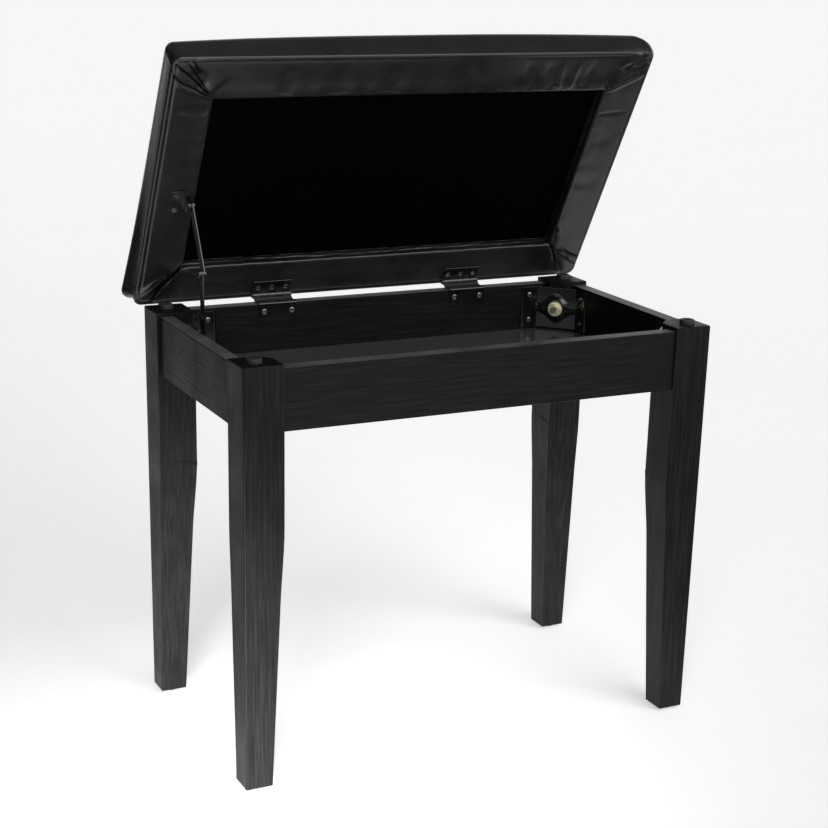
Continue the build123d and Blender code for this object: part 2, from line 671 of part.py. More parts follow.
filling = cushion_form(LEATHER + 0.05)
tuck = 12.0
shell = cushion_form(0.0) - cushion_form(LEATHER)
window = block(-RECESS_X, RECESS_X, -RECESS_Y, RECESS_Y, LID_UNDER - 1, LID_UNDER + LEATHER + 1)
collar = block(-RECESS_X - LEATHER, RECESS_X + LEATHER, -RECESS_Y - LEATHER, RECESS_Y + LEATHER,
               LID_UNDER + 0.4, RAIL_TOP)
collar = collar - block(-RECESS_X, RECESS_X, -RECESS_Y, RECESS_Y, LID_UNDER, RAIL_TOP - LEATHER)
collar = collar - block(-RECESS_X + tuck, RECESS_X - tuck, -RECESS_Y + tuck, RECESS_Y - tuck,
                        LID_UNDER, RAIL_TOP + 1)
seat_cover = shell - window + collar
lid_parts["seat_cover"] = drilled(seat_cover, lid_screw_holes())

wall_x = RECESS_X + LEATHER + 0.05
wall_y = RECESS_Y + LEATHER + 0.05
rail_z0 = LID_UNDER + LEATHER + 0.05
rail_zone = {
    "lid_rail_front": block(-LID_X, LID_X, -LID_Y, -wall_y, rail_z0, RAIL_TOP),
    "lid_rail_back": block(-LID_X, LID_X, wall_y, LID_Y, rail_z0, RAIL_TOP),
    "lid_rail_left": block(-LID_X, -wall_x, -wall_y, wall_y, rail_z0, RAIL_TOP),
    "lid_rail_right": block(wall_x, LID_X, -wall_y, wall_y, rail_z0, RAIL_TOP),
}
for name, zone in rail_zone.items():
    lid_parts[name] = drilled(filling & zone, lid_screw_holes())

lid_parts["seat_board"] = filling & block(-LID_X, LID_X, -LID_Y, LID_Y, RAIL_TOP, BOARD_TOP)
lid_parts["seat_foam"] = filling & block(-LID_X, LID_X, -LID_Y, LID_Y, BOARD_TOP, BOARD_TOP + 60)

dust_top = RAIL_TOP - LEATHER - 0.6
dust_edge = 2.0
lid_parts["dust_cover"] = block(-RECESS_X + dust_edge, RECESS_X - dust_edge, -RECESS_Y + dust_edge,
                                RECESS_Y - dust_edge, dust_top - DUST_T, dust_top)

staples = []
STAPLE_PITCH = 62.0
STAPLE_IN = 7.0


def staple(x, y, along_x):
    """The flat crown of one staple on the tucked leather."""
    half_x, half_y = (5.0, 0.6) if along_x else (0.6, 5.0)
    return block(x - half_x, x + half_x, y - half_y, y + half_y, dust_top, RAIL_TOP - LEATHER)


for index in range(-3, 4):
    for side in (-1, 1):
        staples.append(staple(index * STAPLE_PITCH, side * (RECESS_Y - STAPLE_IN), True))
for index in range(-1, 2):
    for side in (-1, 1):
        staples.append(staple(side * (RECESS_X - STAPLE_IN), index * STAPLE_PITCH, False))
lid_parts["cover_staples"] = group(staples)


# ---------------------------------------------------------------- rest pose and export

os.makedirs("parts", exist_ok=True)
hinge_line = Axis((0, AXIS_Y, AXIS_Z), (1, 0, 0))
all_parts = {}
all_parts.update(frame_parts)
all_parts.update(lower_arm_parts)
all_parts.update(upper_arm_parts)
for name, shape in lid_parts.items():
    all_parts[name] = shape.rotate(hinge_line, -LID_OPEN)

for name, shape in all_parts.items():
    placed = Pos(0, SHIFT_Y, 0) * shape
    export_step(placed, "parts/" + name + ".step")
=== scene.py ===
"""Looks of the storage piano bench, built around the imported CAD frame."""

import math

import bmesh
import bpy
import numpy as np
from mathutils import Matrix, Vector


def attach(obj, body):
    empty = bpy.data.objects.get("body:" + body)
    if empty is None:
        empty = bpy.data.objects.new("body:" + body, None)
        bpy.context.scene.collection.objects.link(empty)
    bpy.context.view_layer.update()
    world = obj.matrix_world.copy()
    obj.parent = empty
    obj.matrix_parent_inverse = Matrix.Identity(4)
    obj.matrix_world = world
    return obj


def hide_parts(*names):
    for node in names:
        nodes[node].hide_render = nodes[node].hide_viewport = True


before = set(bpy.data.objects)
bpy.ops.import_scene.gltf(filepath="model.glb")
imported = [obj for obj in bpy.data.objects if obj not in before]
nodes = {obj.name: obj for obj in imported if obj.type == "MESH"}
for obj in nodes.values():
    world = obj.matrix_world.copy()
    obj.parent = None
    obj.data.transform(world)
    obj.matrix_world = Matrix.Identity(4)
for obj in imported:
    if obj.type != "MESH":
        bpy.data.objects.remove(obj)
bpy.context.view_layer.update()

# ---------------- driving dimensions (metres)

SHIFT_Y = -0.019          # the legs' middle, from the origin
AXIS_Y = 0.151 + SHIFT_Y  # hinge axis
AXIS_Z = 0.4517
LID_OPEN = math.radians(61.0)  # how far the lid stands open at rest
LID_UNDER = 0.455         # underside of the shut lid
LID_X = 0.556             # seat, left to right
LID_Y = 0.314             # seat, front to back
LID_T = 0.0365            # seat's thickness at its edge
CORNER_R = 0.010          # corners of the seat's outline
SOFT_CORNER = 0.012       # the padding's front right corner is rounder by this at the top
BORDER = 0.048            # leather border round the recess in the underside
BUMPER_X = 0.2495         # the rubber bumpers on the legs, from the lid's middle
BUMPER_Y = 0.1315
BUMPER_R = 0.0085
RECESS_DEPTH = 0.0145
WALL_TOLERANCE = 0.0008
RECESS_X_IN = LID_X / 2 - BORDER - WALL_TOLERANCE
RECESS_Y_IN = LID_Y / 2 - BORDER - WALL_TOLERANCE
QUARTER = math.pi / 2

rng = np.random.default_rng(7)


# ---------------- material helpers

def new_material(name):
    """An empty node material with its output and one principled shader."""
    mat = bpy.data.materials.new(name)
    mat.use_nodes = True
    tree = mat.node_tree
    tree.nodes.clear()
    out = tree.nodes.new("ShaderNodeOutputMaterial")
    shader = tree.nodes.new("ShaderNodeBsdfPrincipled")
    tree.links.new(shader.outputs["BSDF"], out.inputs["Surface"])
    return mat, tree, shader


def coords(tree, scale=(1, 1, 1)):
    """Object coordinates, scaled along each axis."""
    tex = tree.nodes.new("ShaderNodeTexCoord")
    mapping = tree.nodes.new("ShaderNodeMapping")
    mapping.inputs["Scale"].default_value = scale
    tree.links.new(tex.outputs["Object"], mapping.inputs["Vector"])
    return mapping.outputs["Vector"]


def noise(tree, vector, scale, detail=4.0, rough=0.55, distortion=0.0):
    """A noise texture; returns its factor output."""
    node = tree.nodes.new("ShaderNodeTexNoise")
    node.inputs["Scale"].default_value = scale
    node.inputs["Detail"].default_value = detail
    node.inputs["Roughness"].default_value = rough
    node.inputs["Distortion"].default_value = distortion
    tree.links.new(vector, node.inputs["Vector"])
    return node.outputs["Fac"]


def ramp(tree, factor, stops):
    """A colour ramp; stops are (position, (r, g, b))."""
    node = tree.nodes.new("ShaderNodeValToRGB")
    while len(node.color_ramp.elements) < len(stops):
        node.color_ramp.elements.new(0.5)
    for element, (position, colour) in zip(node.color_ramp.elements, stops):
        element.position = position
        element.color = (*colour, 1.0)
    tree.links.new(factor, node.inputs["Fac"])
    return node.outputs["Color"]


def span(tree, factor, low, high, from_low=0.0, from_high=1.0):
    """Map a factor onto a range of values."""
    node = tree.nodes.new("ShaderNodeMapRange")
    node.inputs["From Min"].default_value = from_low
    node.inputs["From Max"].default_value = from_high
    node.inputs["To Min"].default_value = low
    node.inputs["To Max"].default_value = high
    tree.links.new(factor, node.inputs["Value"])
    return node.outputs["Result"]


def bump(tree, heights):
    """Chain bump maps: heights is a list of (socket, distance)."""
    normal = None
    for height, dist in heights:
        node = tree.nodes.new("ShaderNodeBump")
        node.inputs["Strength"].default_value = 1.0
        node.inputs["Distance"].default_value = dist
        tree.links.new(height, node.inputs["Height"])
        if normal is not None:
            tree.links.new(normal, node.inputs["Normal"])
        normal = node.outputs["Normal"]
    return normal


# ---------------- materials

def painted_top_light(tree, colour, patches):
    """Painted light on the aprons' upward faces: they are mixed towards grey in noisy patches, a painted
    highlight for the overhead light they catch.
    """
    geometry = tree.nodes.new("ShaderNodeNewGeometry")
    split = tree.nodes.new("ShaderNodeSeparateXYZ")
    tree.links.new(geometry.outputs["Normal"], split.inputs["Vector"])
    facing = span(tree, split.outputs["Z"], 0.0, 1.0, 0.75, 0.95)
    amount = tree.nodes.new("ShaderNodeMath")
    amount.operation = "MULTIPLY"
    tree.links.new(facing, amount.inputs[0])
    tree.links.new(span(tree, patches, 0.5, 1.0, 0.35, 0.6), amount.inputs[1])
    mix = tree.nodes.new("ShaderNodeMix")
    mix.data_type = "RGBA"
    tree.links.new(amount.outputs["Value"], mix.inputs["Factor"])
    tree.links.new(colour, mix.inputs["A"])
    # grey of the painted highlight on the upward faces
    mix.inputs["B"].default_value = (0.110, 0.109, 0.110, 1.0)
    return mix.outputs["Result"]


def black_wood(name, grain_axis, with_top_light=False):
    """Black stained wood with open grain running along one axis, optionally with painted light on its upward
    faces.
    """
    mat, tree, shader = new_material(name)
    base = 0.0066
    gloss = 0.38
    fine = [160.0, 160.0, 160.0]
    fine[grain_axis] = 5.0
    broad = [26.0, 26.0, 26.0]
    broad[grain_axis] = 2.0
    pores = noise(tree, coords(tree, tuple(fine)), 3.2, 5.0, 0.6)
    bands = noise(tree, coords(tree, tuple(broad)), 1.6, 3.0, 0.5, 0.4)
    # this noise varies the roughness, and also places the patches of painted top light
    roughness_and_light_patches = noise(tree, coords(tree), 22.0, 4.0, 0.6)
    colour = ramp(tree, pores, [(0.3, (base * 0.45, base * 0.45, base * 0.48)),
                                (0.52, (base, base, base * 1.04)),
                                (0.75, (base * 2.1, base * 2.08, base * 2.12))])
    # painted highlight on the upward faces, where the overhead light falls
    if with_top_light:
        colour = painted_top_light(tree, colour, roughness_and_light_patches)
    tree.links.new(colour, shader.inputs["Base Color"])
    rough = span(tree, roughness_and_light_patches, gloss - 0.06, gloss + 0.1, 0.3, 0.7)
    tree.links.new(rough, shader.inputs["Roughness"])
    normal = bump(tree, [(pores, 0.00035), (bands, 0.0006)])
    tree.links.new(normal, shader.inputs["Normal"])
    shader.inputs["Specular IOR Level"].default_value = 0.10
    return mat


def painted_steel(name):
    """Glossy black enamel on pressed steel, with a slight orange peel."""
    mat, tree, shader = new_material(name)
    base = 0.0045
    rough = 0.16
    peel = noise(tree, coords(tree), 420.0, 2.0, 0.5)
    wear = noise(tree, coords(tree), 60.0, 5.0, 0.65)
    colour = ramp(tree, wear, [(0.35, (base * 0.8, base * 0.8, base * 0.85)),
                               (0.7, (base * 1.6, base * 1.6, base * 1.7))])
    tree.links.new(colour, shader.inputs["Base Color"])
    tree.links.new(span(tree, wear, rough - 0.03, rough + 0.05, 0.3, 0.7), shader.inputs["Roughness"])
    tree.links.new(bump(tree, [(peel, 0.00003)]), shader.inputs["Normal"])
    shader.inputs["Specular IOR Level"].default_value = 0.5
    shader.inputs["Coat Weight"].default_value = 0.3
    shader.inputs["Coat Roughness"].default_value = 0.12
    return mat


def gloss_panel(name):
    """The box's floor: thin board with a glossy black finish and faint grain; its colour is lifted to dark
    grey as painted sheen, for the light its gloss reflects.
    """
    mat, tree, shader = new_material(name)
    grain = noise(tree, coords(tree, (6.0, 150.0, 20.0)), 2.0, 4.0, 0.6)
    dust = noise(tree, coords(tree), 30.0, 6.0, 0.7)
    # dark grey rather than black: painted sheen standing in for reflected light; the two grain tones are the
    # board's own
    colour = ramp(tree, grain, [(0.3, (0.055, 0.055, 0.060)), (0.7, (0.075, 0.075, 0.082))])
    tree.links.new(colour, shader.inputs["Base Color"])
    tree.links.new(span(tree, dust, 0.10, 0.24, 0.3, 0.75), shader.inputs["Roughness"])
    tree.links.new(bump(tree, [(grain, 0.0001)]), shader.inputs["Normal"])
    shader.inputs["Coat Weight"].default_value = 0.6
    shader.inputs["Coat Roughness"].default_value = 0.1
    return mat


def yellow_zinc(name):
    """Pale yellow zinc plating."""
    mat, tree, shader = new_material(name)
    tint = noise(tree, coords(tree), 180.0, 3.0, 0.6, 0.8)
    colour = ramp(tree, tint, [(0.3, (0.80, 0.74, 0.42)),
                               (0.55, (0.92, 0.88, 0.62)),
                               (0.8, (0.95, 0.92, 0.80))])
    tree.links.new(colour, shader.inputs["Base Color"])
    shader.inputs["Metallic"].default_value = 0.45
    tree.links.new(span(tree, tint, 0.22, 0.42, 0.3, 0.7), shader.inputs["Roughness"])
    return mat


def black_leather(name):
    """Black leather-look cover: fine pebbled grain, broad uneven shine, and painted shade that darkens it in
    the crevices of its pleats.
    """
    mat, tree, shader = new_material(name)
    vector = coords(tree)
    cells = tree.nodes.new("ShaderNodeTexVoronoi")
    cells.inputs["Scale"].default_value = 1100.0
    tree.links.new(vector, cells.inputs["Vector"])
    pebble = cells.outputs["Distance"]
    fine = noise(tree, vector, 320.0, 4.0, 0.6)
    slow = noise(tree, vector, 14.0, 3.0, 0.5, 0.6)
    colour = ramp(tree, slow, [(0.3, (0.0070, 0.0070, 0.0084)), (0.7, (0.0110, 0.0110, 0.0132))])
    tree.links.new(span(tree, slow, 0.24, 0.37, 0.3, 0.7), shader.inputs["Roughness"])
    tree.links.new(bump(tree, [(pebble, 0.00005), (fine, 0.00007)]), shader.inputs["Normal"])
    # painted shade: this attribute darkens the colour to near black and takes the specular away in the
    # crevices
    painted_crevice_shade = tree.nodes.new("ShaderNodeAttribute")
    painted_crevice_shade.attribute_name = "painted_crevice_shade"
    mix = tree.nodes.new("ShaderNodeMix")
    mix.data_type = "RGBA"
    mix.inputs["B"].default_value = (0.001, 0.001, 0.001, 1.0)
    tree.links.new(painted_crevice_shade.outputs["Fac"], mix.inputs["Factor"])
    tree.links.new(colour, mix.inputs["A"])
    tree.links.new(mix.outputs["Result"], shader.inputs["Base Color"])
    tree.links.new(span(tree, painted_crevice_shade.outputs["Fac"], 0.5, 0.0), shader.inputs["Specular IOR Level"])
    return mat


def grey(value):
    return (value,) * 3


def plain_noise(name, dark, light, scale, rough=(0.5, 0.7), dent=0.0, metallic=0.0,
                stretch=(1, 1, 1), specular=0.5):
    """A general material: two tones of one colour mixed by noise."""
    mat, tree, shader = new_material(name)
    tone = noise(tree, coords(tree, stretch), scale, 5.0, 0.6)
    tree.links.new(ramp(tree, tone, [(0.3, dark), (0.7, light)]), shader.inputs["Base Color"])
    tree.links.new(span(tree, tone, rough[0], rough[1], 0.3, 0.7), shader.inputs["Roughness"])
    if dent:
        tree.links.new(bump(tree, [(tone, dent)]), shader.inputs["Normal"])
    shader.inputs["Metallic"].default_value = metallic
    shader.inputs["Specular IOR Level"].default_value = specular
    return mat


# the aprons carry painted light on their upward faces
wood_x = black_wood("wood_along_x", 0, with_top_light=True)
wood_y = black_wood("wood_along_y", 1, with_top_light=True)
wood_z = black_wood("wood_along_z", 2)
steel = painted_steel("black_enamel")
panel = gloss_panel("gloss_panel")
zinc = yellow_zinc("yellow_zinc")
bolt_mat = plain_noise("bolt_thread", (0.20, 0.18, 0.10), (0.42, 0.38, 0.22), 260.0,
                       rough=(0.3, 0.45), metallic=1.0)
screw_mat = plain_noise("dark_screws", (0.12, 0.12, 0.125), (0.30, 0.30, 0.31), 300.0,
                        rough=(0.2, 0.32), metallic=1.0)
rubber = plain_noise("black_rubber", grey(0.012), grey(0.03), 250.0, dent=0.0001)
plastic = plain_noise("black_plastic", grey(0.012), grey(0.022), 200.0, rough=(0.4, 0.55), dent=0.00005)
pine = plain_noise("frame_pine", (0.42, 0.28, 0.14), (0.62, 0.46, 0.28), 3.0,
                   rough=(0.6, 0.75), dent=0.0004, stretch=(8, 90, 90))
ply = plain_noise("plywood", (0.40, 0.28, 0.16), (0.60, 0.46, 0.30), 3.0,
                  rough=(0.6, 0.8), dent=0.0003, stretch=(8, 80, 80))
foam = plain_noise("foam", (0.55, 0.52, 0.42), (0.78, 0.75, 0.66), 700.0, rough=(0.8, 0.95), dent=0.0006)
staple_steel = plain_noise("staple_steel", (0.35, 0.35, 0.36), (0.62, 0.62, 0.63), 400.0,
                           rough=(0.25, 0.4), metallic=1.0)
cloth = plain_noise("non_woven_cloth", grey(0.0004), grey(0.0012), 900.0,
                    rough=(0.9, 1.0), dent=0.0002, specular=0.02)
leather_mat = black_leather("black_leather")

# The look of every CAD node, also of those that a finer piece stands in for further down
LOOKS = [
    ("leg_", wood_z),
    ("apron_front", wood_x),
    ("apron_back", wood_x),
    ("apron_", wood_y),
    ("bottom_panel", panel),
    ("corner_bracket", steel),
    ("hanger_bolts", bolt_mat),
    ("bolt_", zinc),
    ("bracket_screws", screw_mat),
    ("hinge_box_screws", screw_mat),
    ("hinge_lid_screws", screw_mat),
    ("hinge_", steel),
    ("stay_apron_screws", screw_mat),
    ("stay_lid_screws", screw_mat),
    ("stay_", steel),
    ("foot_glides", plastic),
    ("lid_bumpers", rubber),
    ("lid_rail", pine),
    ("seat_board", ply),
    ("seat_foam", foam),
    ("seat_cover", leather_mat),
    ("dust_cover", cloth),
    ("cover_staples", staple_steel),
]


def paint(obj, mat):
    obj.data.materials.clear()
    obj.data.materials.append(mat)


for node_name, obj in nodes.items():
    for prefix, mat in LOOKS:
        if node_name.startswith(prefix):
            paint(obj, mat)
            break


# ---------------- the lid's leather cushion
# Built shut, in lid coordinates: x to the right, y to the hinge side, n up from the underside.

HALF_LX = LID_X / 2
HALF_LY = LID_Y / 2
TOP_ROUND = 0.012
EDGE_ROUND = 0.0022
WALL_ROUND = 0.0015       # the underside's turn into the recess
MIN_ROUND = 0.0012        # corners of the inner rings are no sharper than this
BELLY = 0.0034            # the foam bulges this far past the wood
SWELL = 0.0038            # most that the cloth pressure may lift the cover
EDGE_LIFT = 0.0086        # the padding stands this much higher in the middle of a long side
END_SHARE = 0.35          # and this share of it at the middle of a short side
CROWN = 0.0035            # and the seat's middle stands this much higher still
SKIN_IN = 0.0005          # the underside skin lies this far above the CAD underside
DEEPEST = 0.0007          # limits of the underside's relief
HIGHEST = 0.0030
FOAM_FROM = 0.020         # the cloth simulation moves only what is above this height
PRESSURE = 4.0
CLOTH_FRAMES = 20
FINE_STEP = 0.0011        # mesh steps along the outline: near the corners, and between them
LONG_STEP = 0.0026
LONG_FINE = 0.085         # fine steps reach this far in from the corners
SHORT_FINE = 0.075

# Mesh steps down the section: of the finished cushion, and of the coarse one for the cloth
FINE = {"top": 0.0035, "round": 9, "side": 14, "edge": 6, "under": 42, "turn": 4, "wall": 15, "floor": 5}
COARSE = {"top": 0.0075, "round": 4, "side": 5, "edge": 2, "under": 8, "turn": 2, "wall": 2, "floor": 2}


def ease(value):
    """A smooth step from 0 to 1."""
    value = np.clip(value, 0.0, 1.0)
    return value * value * (3 - 2 * value)


def spread_to_ends(length, reach):
    """Positions 0..1 along one side: fine steps near both ends, coarse between."""
    marks = list(np.arange(0.0, reach, FINE_STEP))
    marks += list(np.arange(reach, length - reach, LONG_STEP))
    marks += list(np.arange(length - reach, length, FINE_STEP))
    return np.array(marks) / length


def ring_layout(fine):
    """Perimeter samples as (side, position): sides 0 to 3 and corners 4 to 7."""
    if fine:
        long_marks = spread_to_ends(LID_X, LONG_FINE)
        short_marks = spread_to_ends(LID_Y, SHORT_FINE)
        corner_marks = np.linspace(0.0, 1.0, 12, endpoint=False)
    else:
        long_marks, short_marks, corner_marks = (
            np.linspace(0.0, 1.0, count, endpoint=False) for count in (76, 43, 4))
    layout = []
    for side in range(4):
        marks = long_marks if side % 2 == 0 else short_marks
        layout += [(side, m) for m in marks]
        layout += [(side + 4, m) for m in corner_marks]
    return np.array([s for s, _ in layout]), np.array([m for _, m in layout])


def ring_points(layout, inset, n):
    """One closed loop around the lid at an inset from its outline."""
    kind, mark = layout
    soft = CORNER_R + SOFT_CORNER * float(ease(np.float64((n - 0.004) / 0.022)))
    centres = []
    for sx, sy, full_radius in ((-1, -1, CORNER_R), (1, -1, soft), (1, 1, CORNER_R), (-1, 1, CORNER_R)):
        radius = max(full_radius - inset, MIN_ROUND)
        centres.append((sx * (HALF_LX - inset - radius), sy * (HALF_LY - inset - radius), radius))
    x = np.zeros(len(kind))
    y = np.zeros(len(kind))
    for side in range(4):
        x0, y0, r0 = centres[side]
        x1, y1, r1 = centres[(side + 1) % 4]
        out = [(0, -1), (1, 0), (0, 1), (-1, 0)][side]
        here = kind == side
        xa, ya = x0 + out[0] * r0, y0 + out[1] * r0
        xb, yb = x1 + out[0] * r1, y1 + out[1] * r1
        x[here] = xa + (xb - xa) * mark[here]
        y[here] = ya + (yb - ya) * mark[here]
        turn = kind == side + 4
        angle = -QUARTER + side * QUARTER + mark[turn] * QUARTER
        x[turn] = x1 + r1 * np.cos(angle)
        y[turn] = y1 + r1 * np.sin(angle)
    return x, y


def section(steps):
    """The cross-section from the top's middle to the recess: (inset, n, zone) rows."""
    rows = []
    for inset in np.arange(HALF_LY - 0.002, TOP_ROUND, -steps["top"]):
        rows.append((inset, LID_T, "top"))
    for turn in np.linspace(0.0, 1.0, steps["round"], endpoint=False):
        a = turn * QUARTER
        rows.append((TOP_ROUND * (1 - math.sin(a)), LID_T - TOP_ROUND * (1 - math.cos(a)), "side"))
    for n in np.linspace(LID_T - TOP_ROUND, EDGE_ROUND + SKIN_IN, steps["side"], endpoint=False):
        rows.append((0.0, n, "side"))
    for turn in np.linspace(0.0, 1.0, steps["edge"], endpoint=False):
        a = turn * QUARTER
        rows.append((EDGE_ROUND * (1 - math.cos(a)), SKIN_IN + EDGE_ROUND * (1 - math.sin(a)), "under"))
    for inset in np.linspace(EDGE_ROUND, BORDER - WALL_ROUND, steps["under"]):
        rows.append((inset, SKIN_IN, "under"))
    for turn in np.linspace(0.2, 1.0, steps["turn"]):
        a = turn * QUARTER
        inset = BORDER - WALL_ROUND + WALL_ROUND * math.sin(a)
        rows.append((inset, SKIN_IN + WALL_ROUND * (1 - math.cos(a)), "wall"))
    for n in np.linspace(0.0026, RECESS_DEPTH - 0.0012, steps["wall"]):
        rows.append((BORDER, n, "wall"))
    for inset in np.linspace(BORDER + 0.001, BORDER + 0.012, steps["floor"]):
        rows.append((inset, RECESS_DEPTH - 0.0008, "floor"))
    return rows


def near_path(x, y, path):
    """Signed distance from a path, and how far along it (0 to 1) the nearest point is."""
    best = np.full(x.shape, 1e9)
    signed = np.zeros(x.shape)
    along = np.zeros(x.shape)
    lengths = [math.dist(a, b) for a, b in zip(path, path[1:])]
    total = sum(lengths)
    done = 0.0
    for (x0, y0), (x1, y1), length in zip(path, path[1:], lengths):
        ux, uy = (x1 - x0) / length, (y1 - y0) / length
        t = np.clip((x - x0) * ux + (y - y0) * uy, 0.0, length)
        dx, dy = x - (x0 + t * ux), y - (y0 + t * uy)
        dist = np.hypot(dx, dy)
        side = np.sign(ux * dy - uy * dx)
        closer = dist < best
        best = np.where(closer, dist, best)
        signed = np.where(closer, dist * np.where(side == 0, 1, side), signed)
        along = np.where(closer, (done + t) / total, along)
        done += length
    return signed, along


SOFT_FADE = (0.2, 0.25)


def envelope_along(along, fade):
    """1 along a path, dying away over a share of its length at each end."""
    return ease(along / fade[0]) * ease((1 - along) / fade[1])


def fold(x, y, path, height, side, reach, lip, fade):
    """A lapped pleat: a sharp step along a path that dies away on its raised side."""
    signed, along = near_path(x, y, path)
    t = signed * side
    rise = ease((t + lip) / (2 * lip))
    body = rise * np.exp(-np.maximum(t, 0) / reach)
    groove = 0.5 * np.exp(-((t + 1.5 * lip) / lip) ** 2)
    return height * envelope_along(along, fade) * (body - groove)


def ridge(x, y, path, height, width, fade=SOFT_FADE):
    """A soft ridge (or a valley, with a negative height) along a path."""
    signed, along = near_path(x, y, path)
    return height * envelope_along(along, fade) * np.exp(-(signed / width) ** 2)


def waves(position, seed, scale, count=6):
    """A smooth random curve along a border, about -1 to 1."""
    local = np.random.default_rng(seed)
    total = np.zeros(position.shape)
    for k in range(count):
        freq = scale * (0.6 + 0.9 * local.random()) * (1 + 0.45 * k)
        total += np.sin(position * freq + local.random() * 6.28) / (1 + 0.55 * k)
    return total / 2.4


def mm(*points):
    """A path given in whole millimetres."""
    return [(px / 1000.0, py / 1000.0) for px, py in points]


# Lapped pleats of the underside: path, height, raised side, reach, lip, fade at both ends; the crevice of
# each also gets a line of painted shade
PLEATS = (
    # front left corner: three pleats fan out from the recess corner
    (mm((-233, -115), (-250, -137), (-262, -154)), 0.0026, 1, 0.010, 0.0007, (0.12, 0.15)),
    (mm((-232, -113), (-251, -131), (-276, -153)), 0.0028, 1, 0.007, 0.0007, (0.12, 0.15)),
    (mm((-231, -111), (-247, -120), (-264, -128), (-280, -144)), 0.0030, 1, 0.006, 0.0007, (0.12, 0.15)),
    # front right corner: one long diagonal pleat and two short ones near the outside
    (mm((229, -109), (238, -112), (256, -125), (279, -141)), 0.0028, -1, 0.010, 0.0009, (0.06, 0.1)),
    (mm((247, -131), (258, -138), (274, -151)), 0.0028, -1, 0.004, 0.0007, (0.12, 0.1)),
    (mm((243, -131), (254, -145), (264, -158)), 0.0024, -1, 0.005, 0.0007, (0.12, 0.1)),
    # hinge side, left corner: a mitred lap
    (mm((-230, 106), (-239, 121), (-249, 136), (-260, 154)), 0.0019, -1, 0.020, 0.0011, (0.03, 0.1)),
    # hinge side, right corner: a wavy seam, and creases out to the edge
    (mm((229, 109), (237, 121), (242, 133), (250, 139), (260, 153)), 0.0018, 1, 0.018, 0.0011, (0.03, 0.1)),
    (mm((248, 116), (261, 124), (280, 132)), 0.0022, 1, 0.006, 0.0008, (0.12, 0.15)),
    (mm((242, 119), (257, 128), (279, 141)), 0.0018, -1, 0.005, 0.0008, (0.12, 0.15)),
)


# Hollows beside the pleats: path, depth, width; each is sunk into the leather and also darkened with painted
# shade
HOLLOWS = (
    (mm((-238, 117), (-248, 127), (-258, 143)), 0.0026, 0.0046),
    (mm((-246, -136), (-254, -150), (-258, -158)), 0.0010, 0.0022),
)


def crevice_shade(x, y):
    """Painted shade for the pleats' crevices and the hollows, 0 to 1: how far each point of the leather is
    darkened.
    """
    dark = np.zeros(x.shape)
    for path, height, side, reach, lip, fade in PLEATS:
        signed, along = near_path(x, y, path)
        line = np.exp(-((signed * side + 1.2 * lip) / (2.0 * lip)) ** 2)
        dark = np.maximum(dark, envelope_along(along, fade) * line)
    # broad painted shade in the hollows
    for path, depth, width in HOLLOWS:
        signed, along = near_path(x, y, path)
        hollow = 0.85 * envelope_along(along, SOFT_FADE) * np.exp(-(signed / width) ** 2)
        dark = np.maximum(dark, hollow)
    return dark


# Soft ridges of the underside, valleys where the height is negative: path, height, width
RIDGES = (
    (mm((-230, -109), (-251, -117), (-266, -124), (-278, -134)), 0.0014, 0.0020),
    (mm((228, -107), (240, -110), (261, -121), (279, -131)), 0.0010, 0.0022),
    # a loose curl beside the hinge side's left lap
    (mm((-240, 119), (-252, 123), (-262, 131), (-279, 145)), 0.0022, 0.0034),
    (mm((-229, 98), (-238, 108), (-246, 113)), 0.0009, 0.0018),
    (mm((223, 70), (232, 80), (240, 92)), 0.0010, 0.0024),
    (mm((229, 84), (231, 96), (236, 106)), -0.0007, 0.0030),
    (mm((-236, 30), (-234, 55), (-231, 82)), -0.0008, 0.0030),
)
# Soft dips across the front border: place, lean, depth and width, in millimetres
FRONT_DIPS = (
    (120, 16, 1.5, 5.5), (146, 14, 1.2, 5.0), (163, 4, -1.1, 4.0),
    (186, -4, -0.9, 4.0), (60, 6, 0.7, 7.0), (-30, -5, 0.7, 9.0),
    (-95, 3, 0.7, 8.0), (-150, -5, 0.9, 7.0), (205, -6, 0.7, 5.0),
)
# Broad creases across the side borders: side, place, depth and width, in millimetres
SIDE_DIPS = (
    (-1, -93, 0.8, 4.5), (-1, -60, -0.4, 6.0), (-1, -22, 0.4, 8.0), (-1, 30, 0.4, 7.0),
    (1, -76, 0.7, 2.2), (1, -40, 0.35, 8.0), (1, 20, 0.4, 9.0),
)


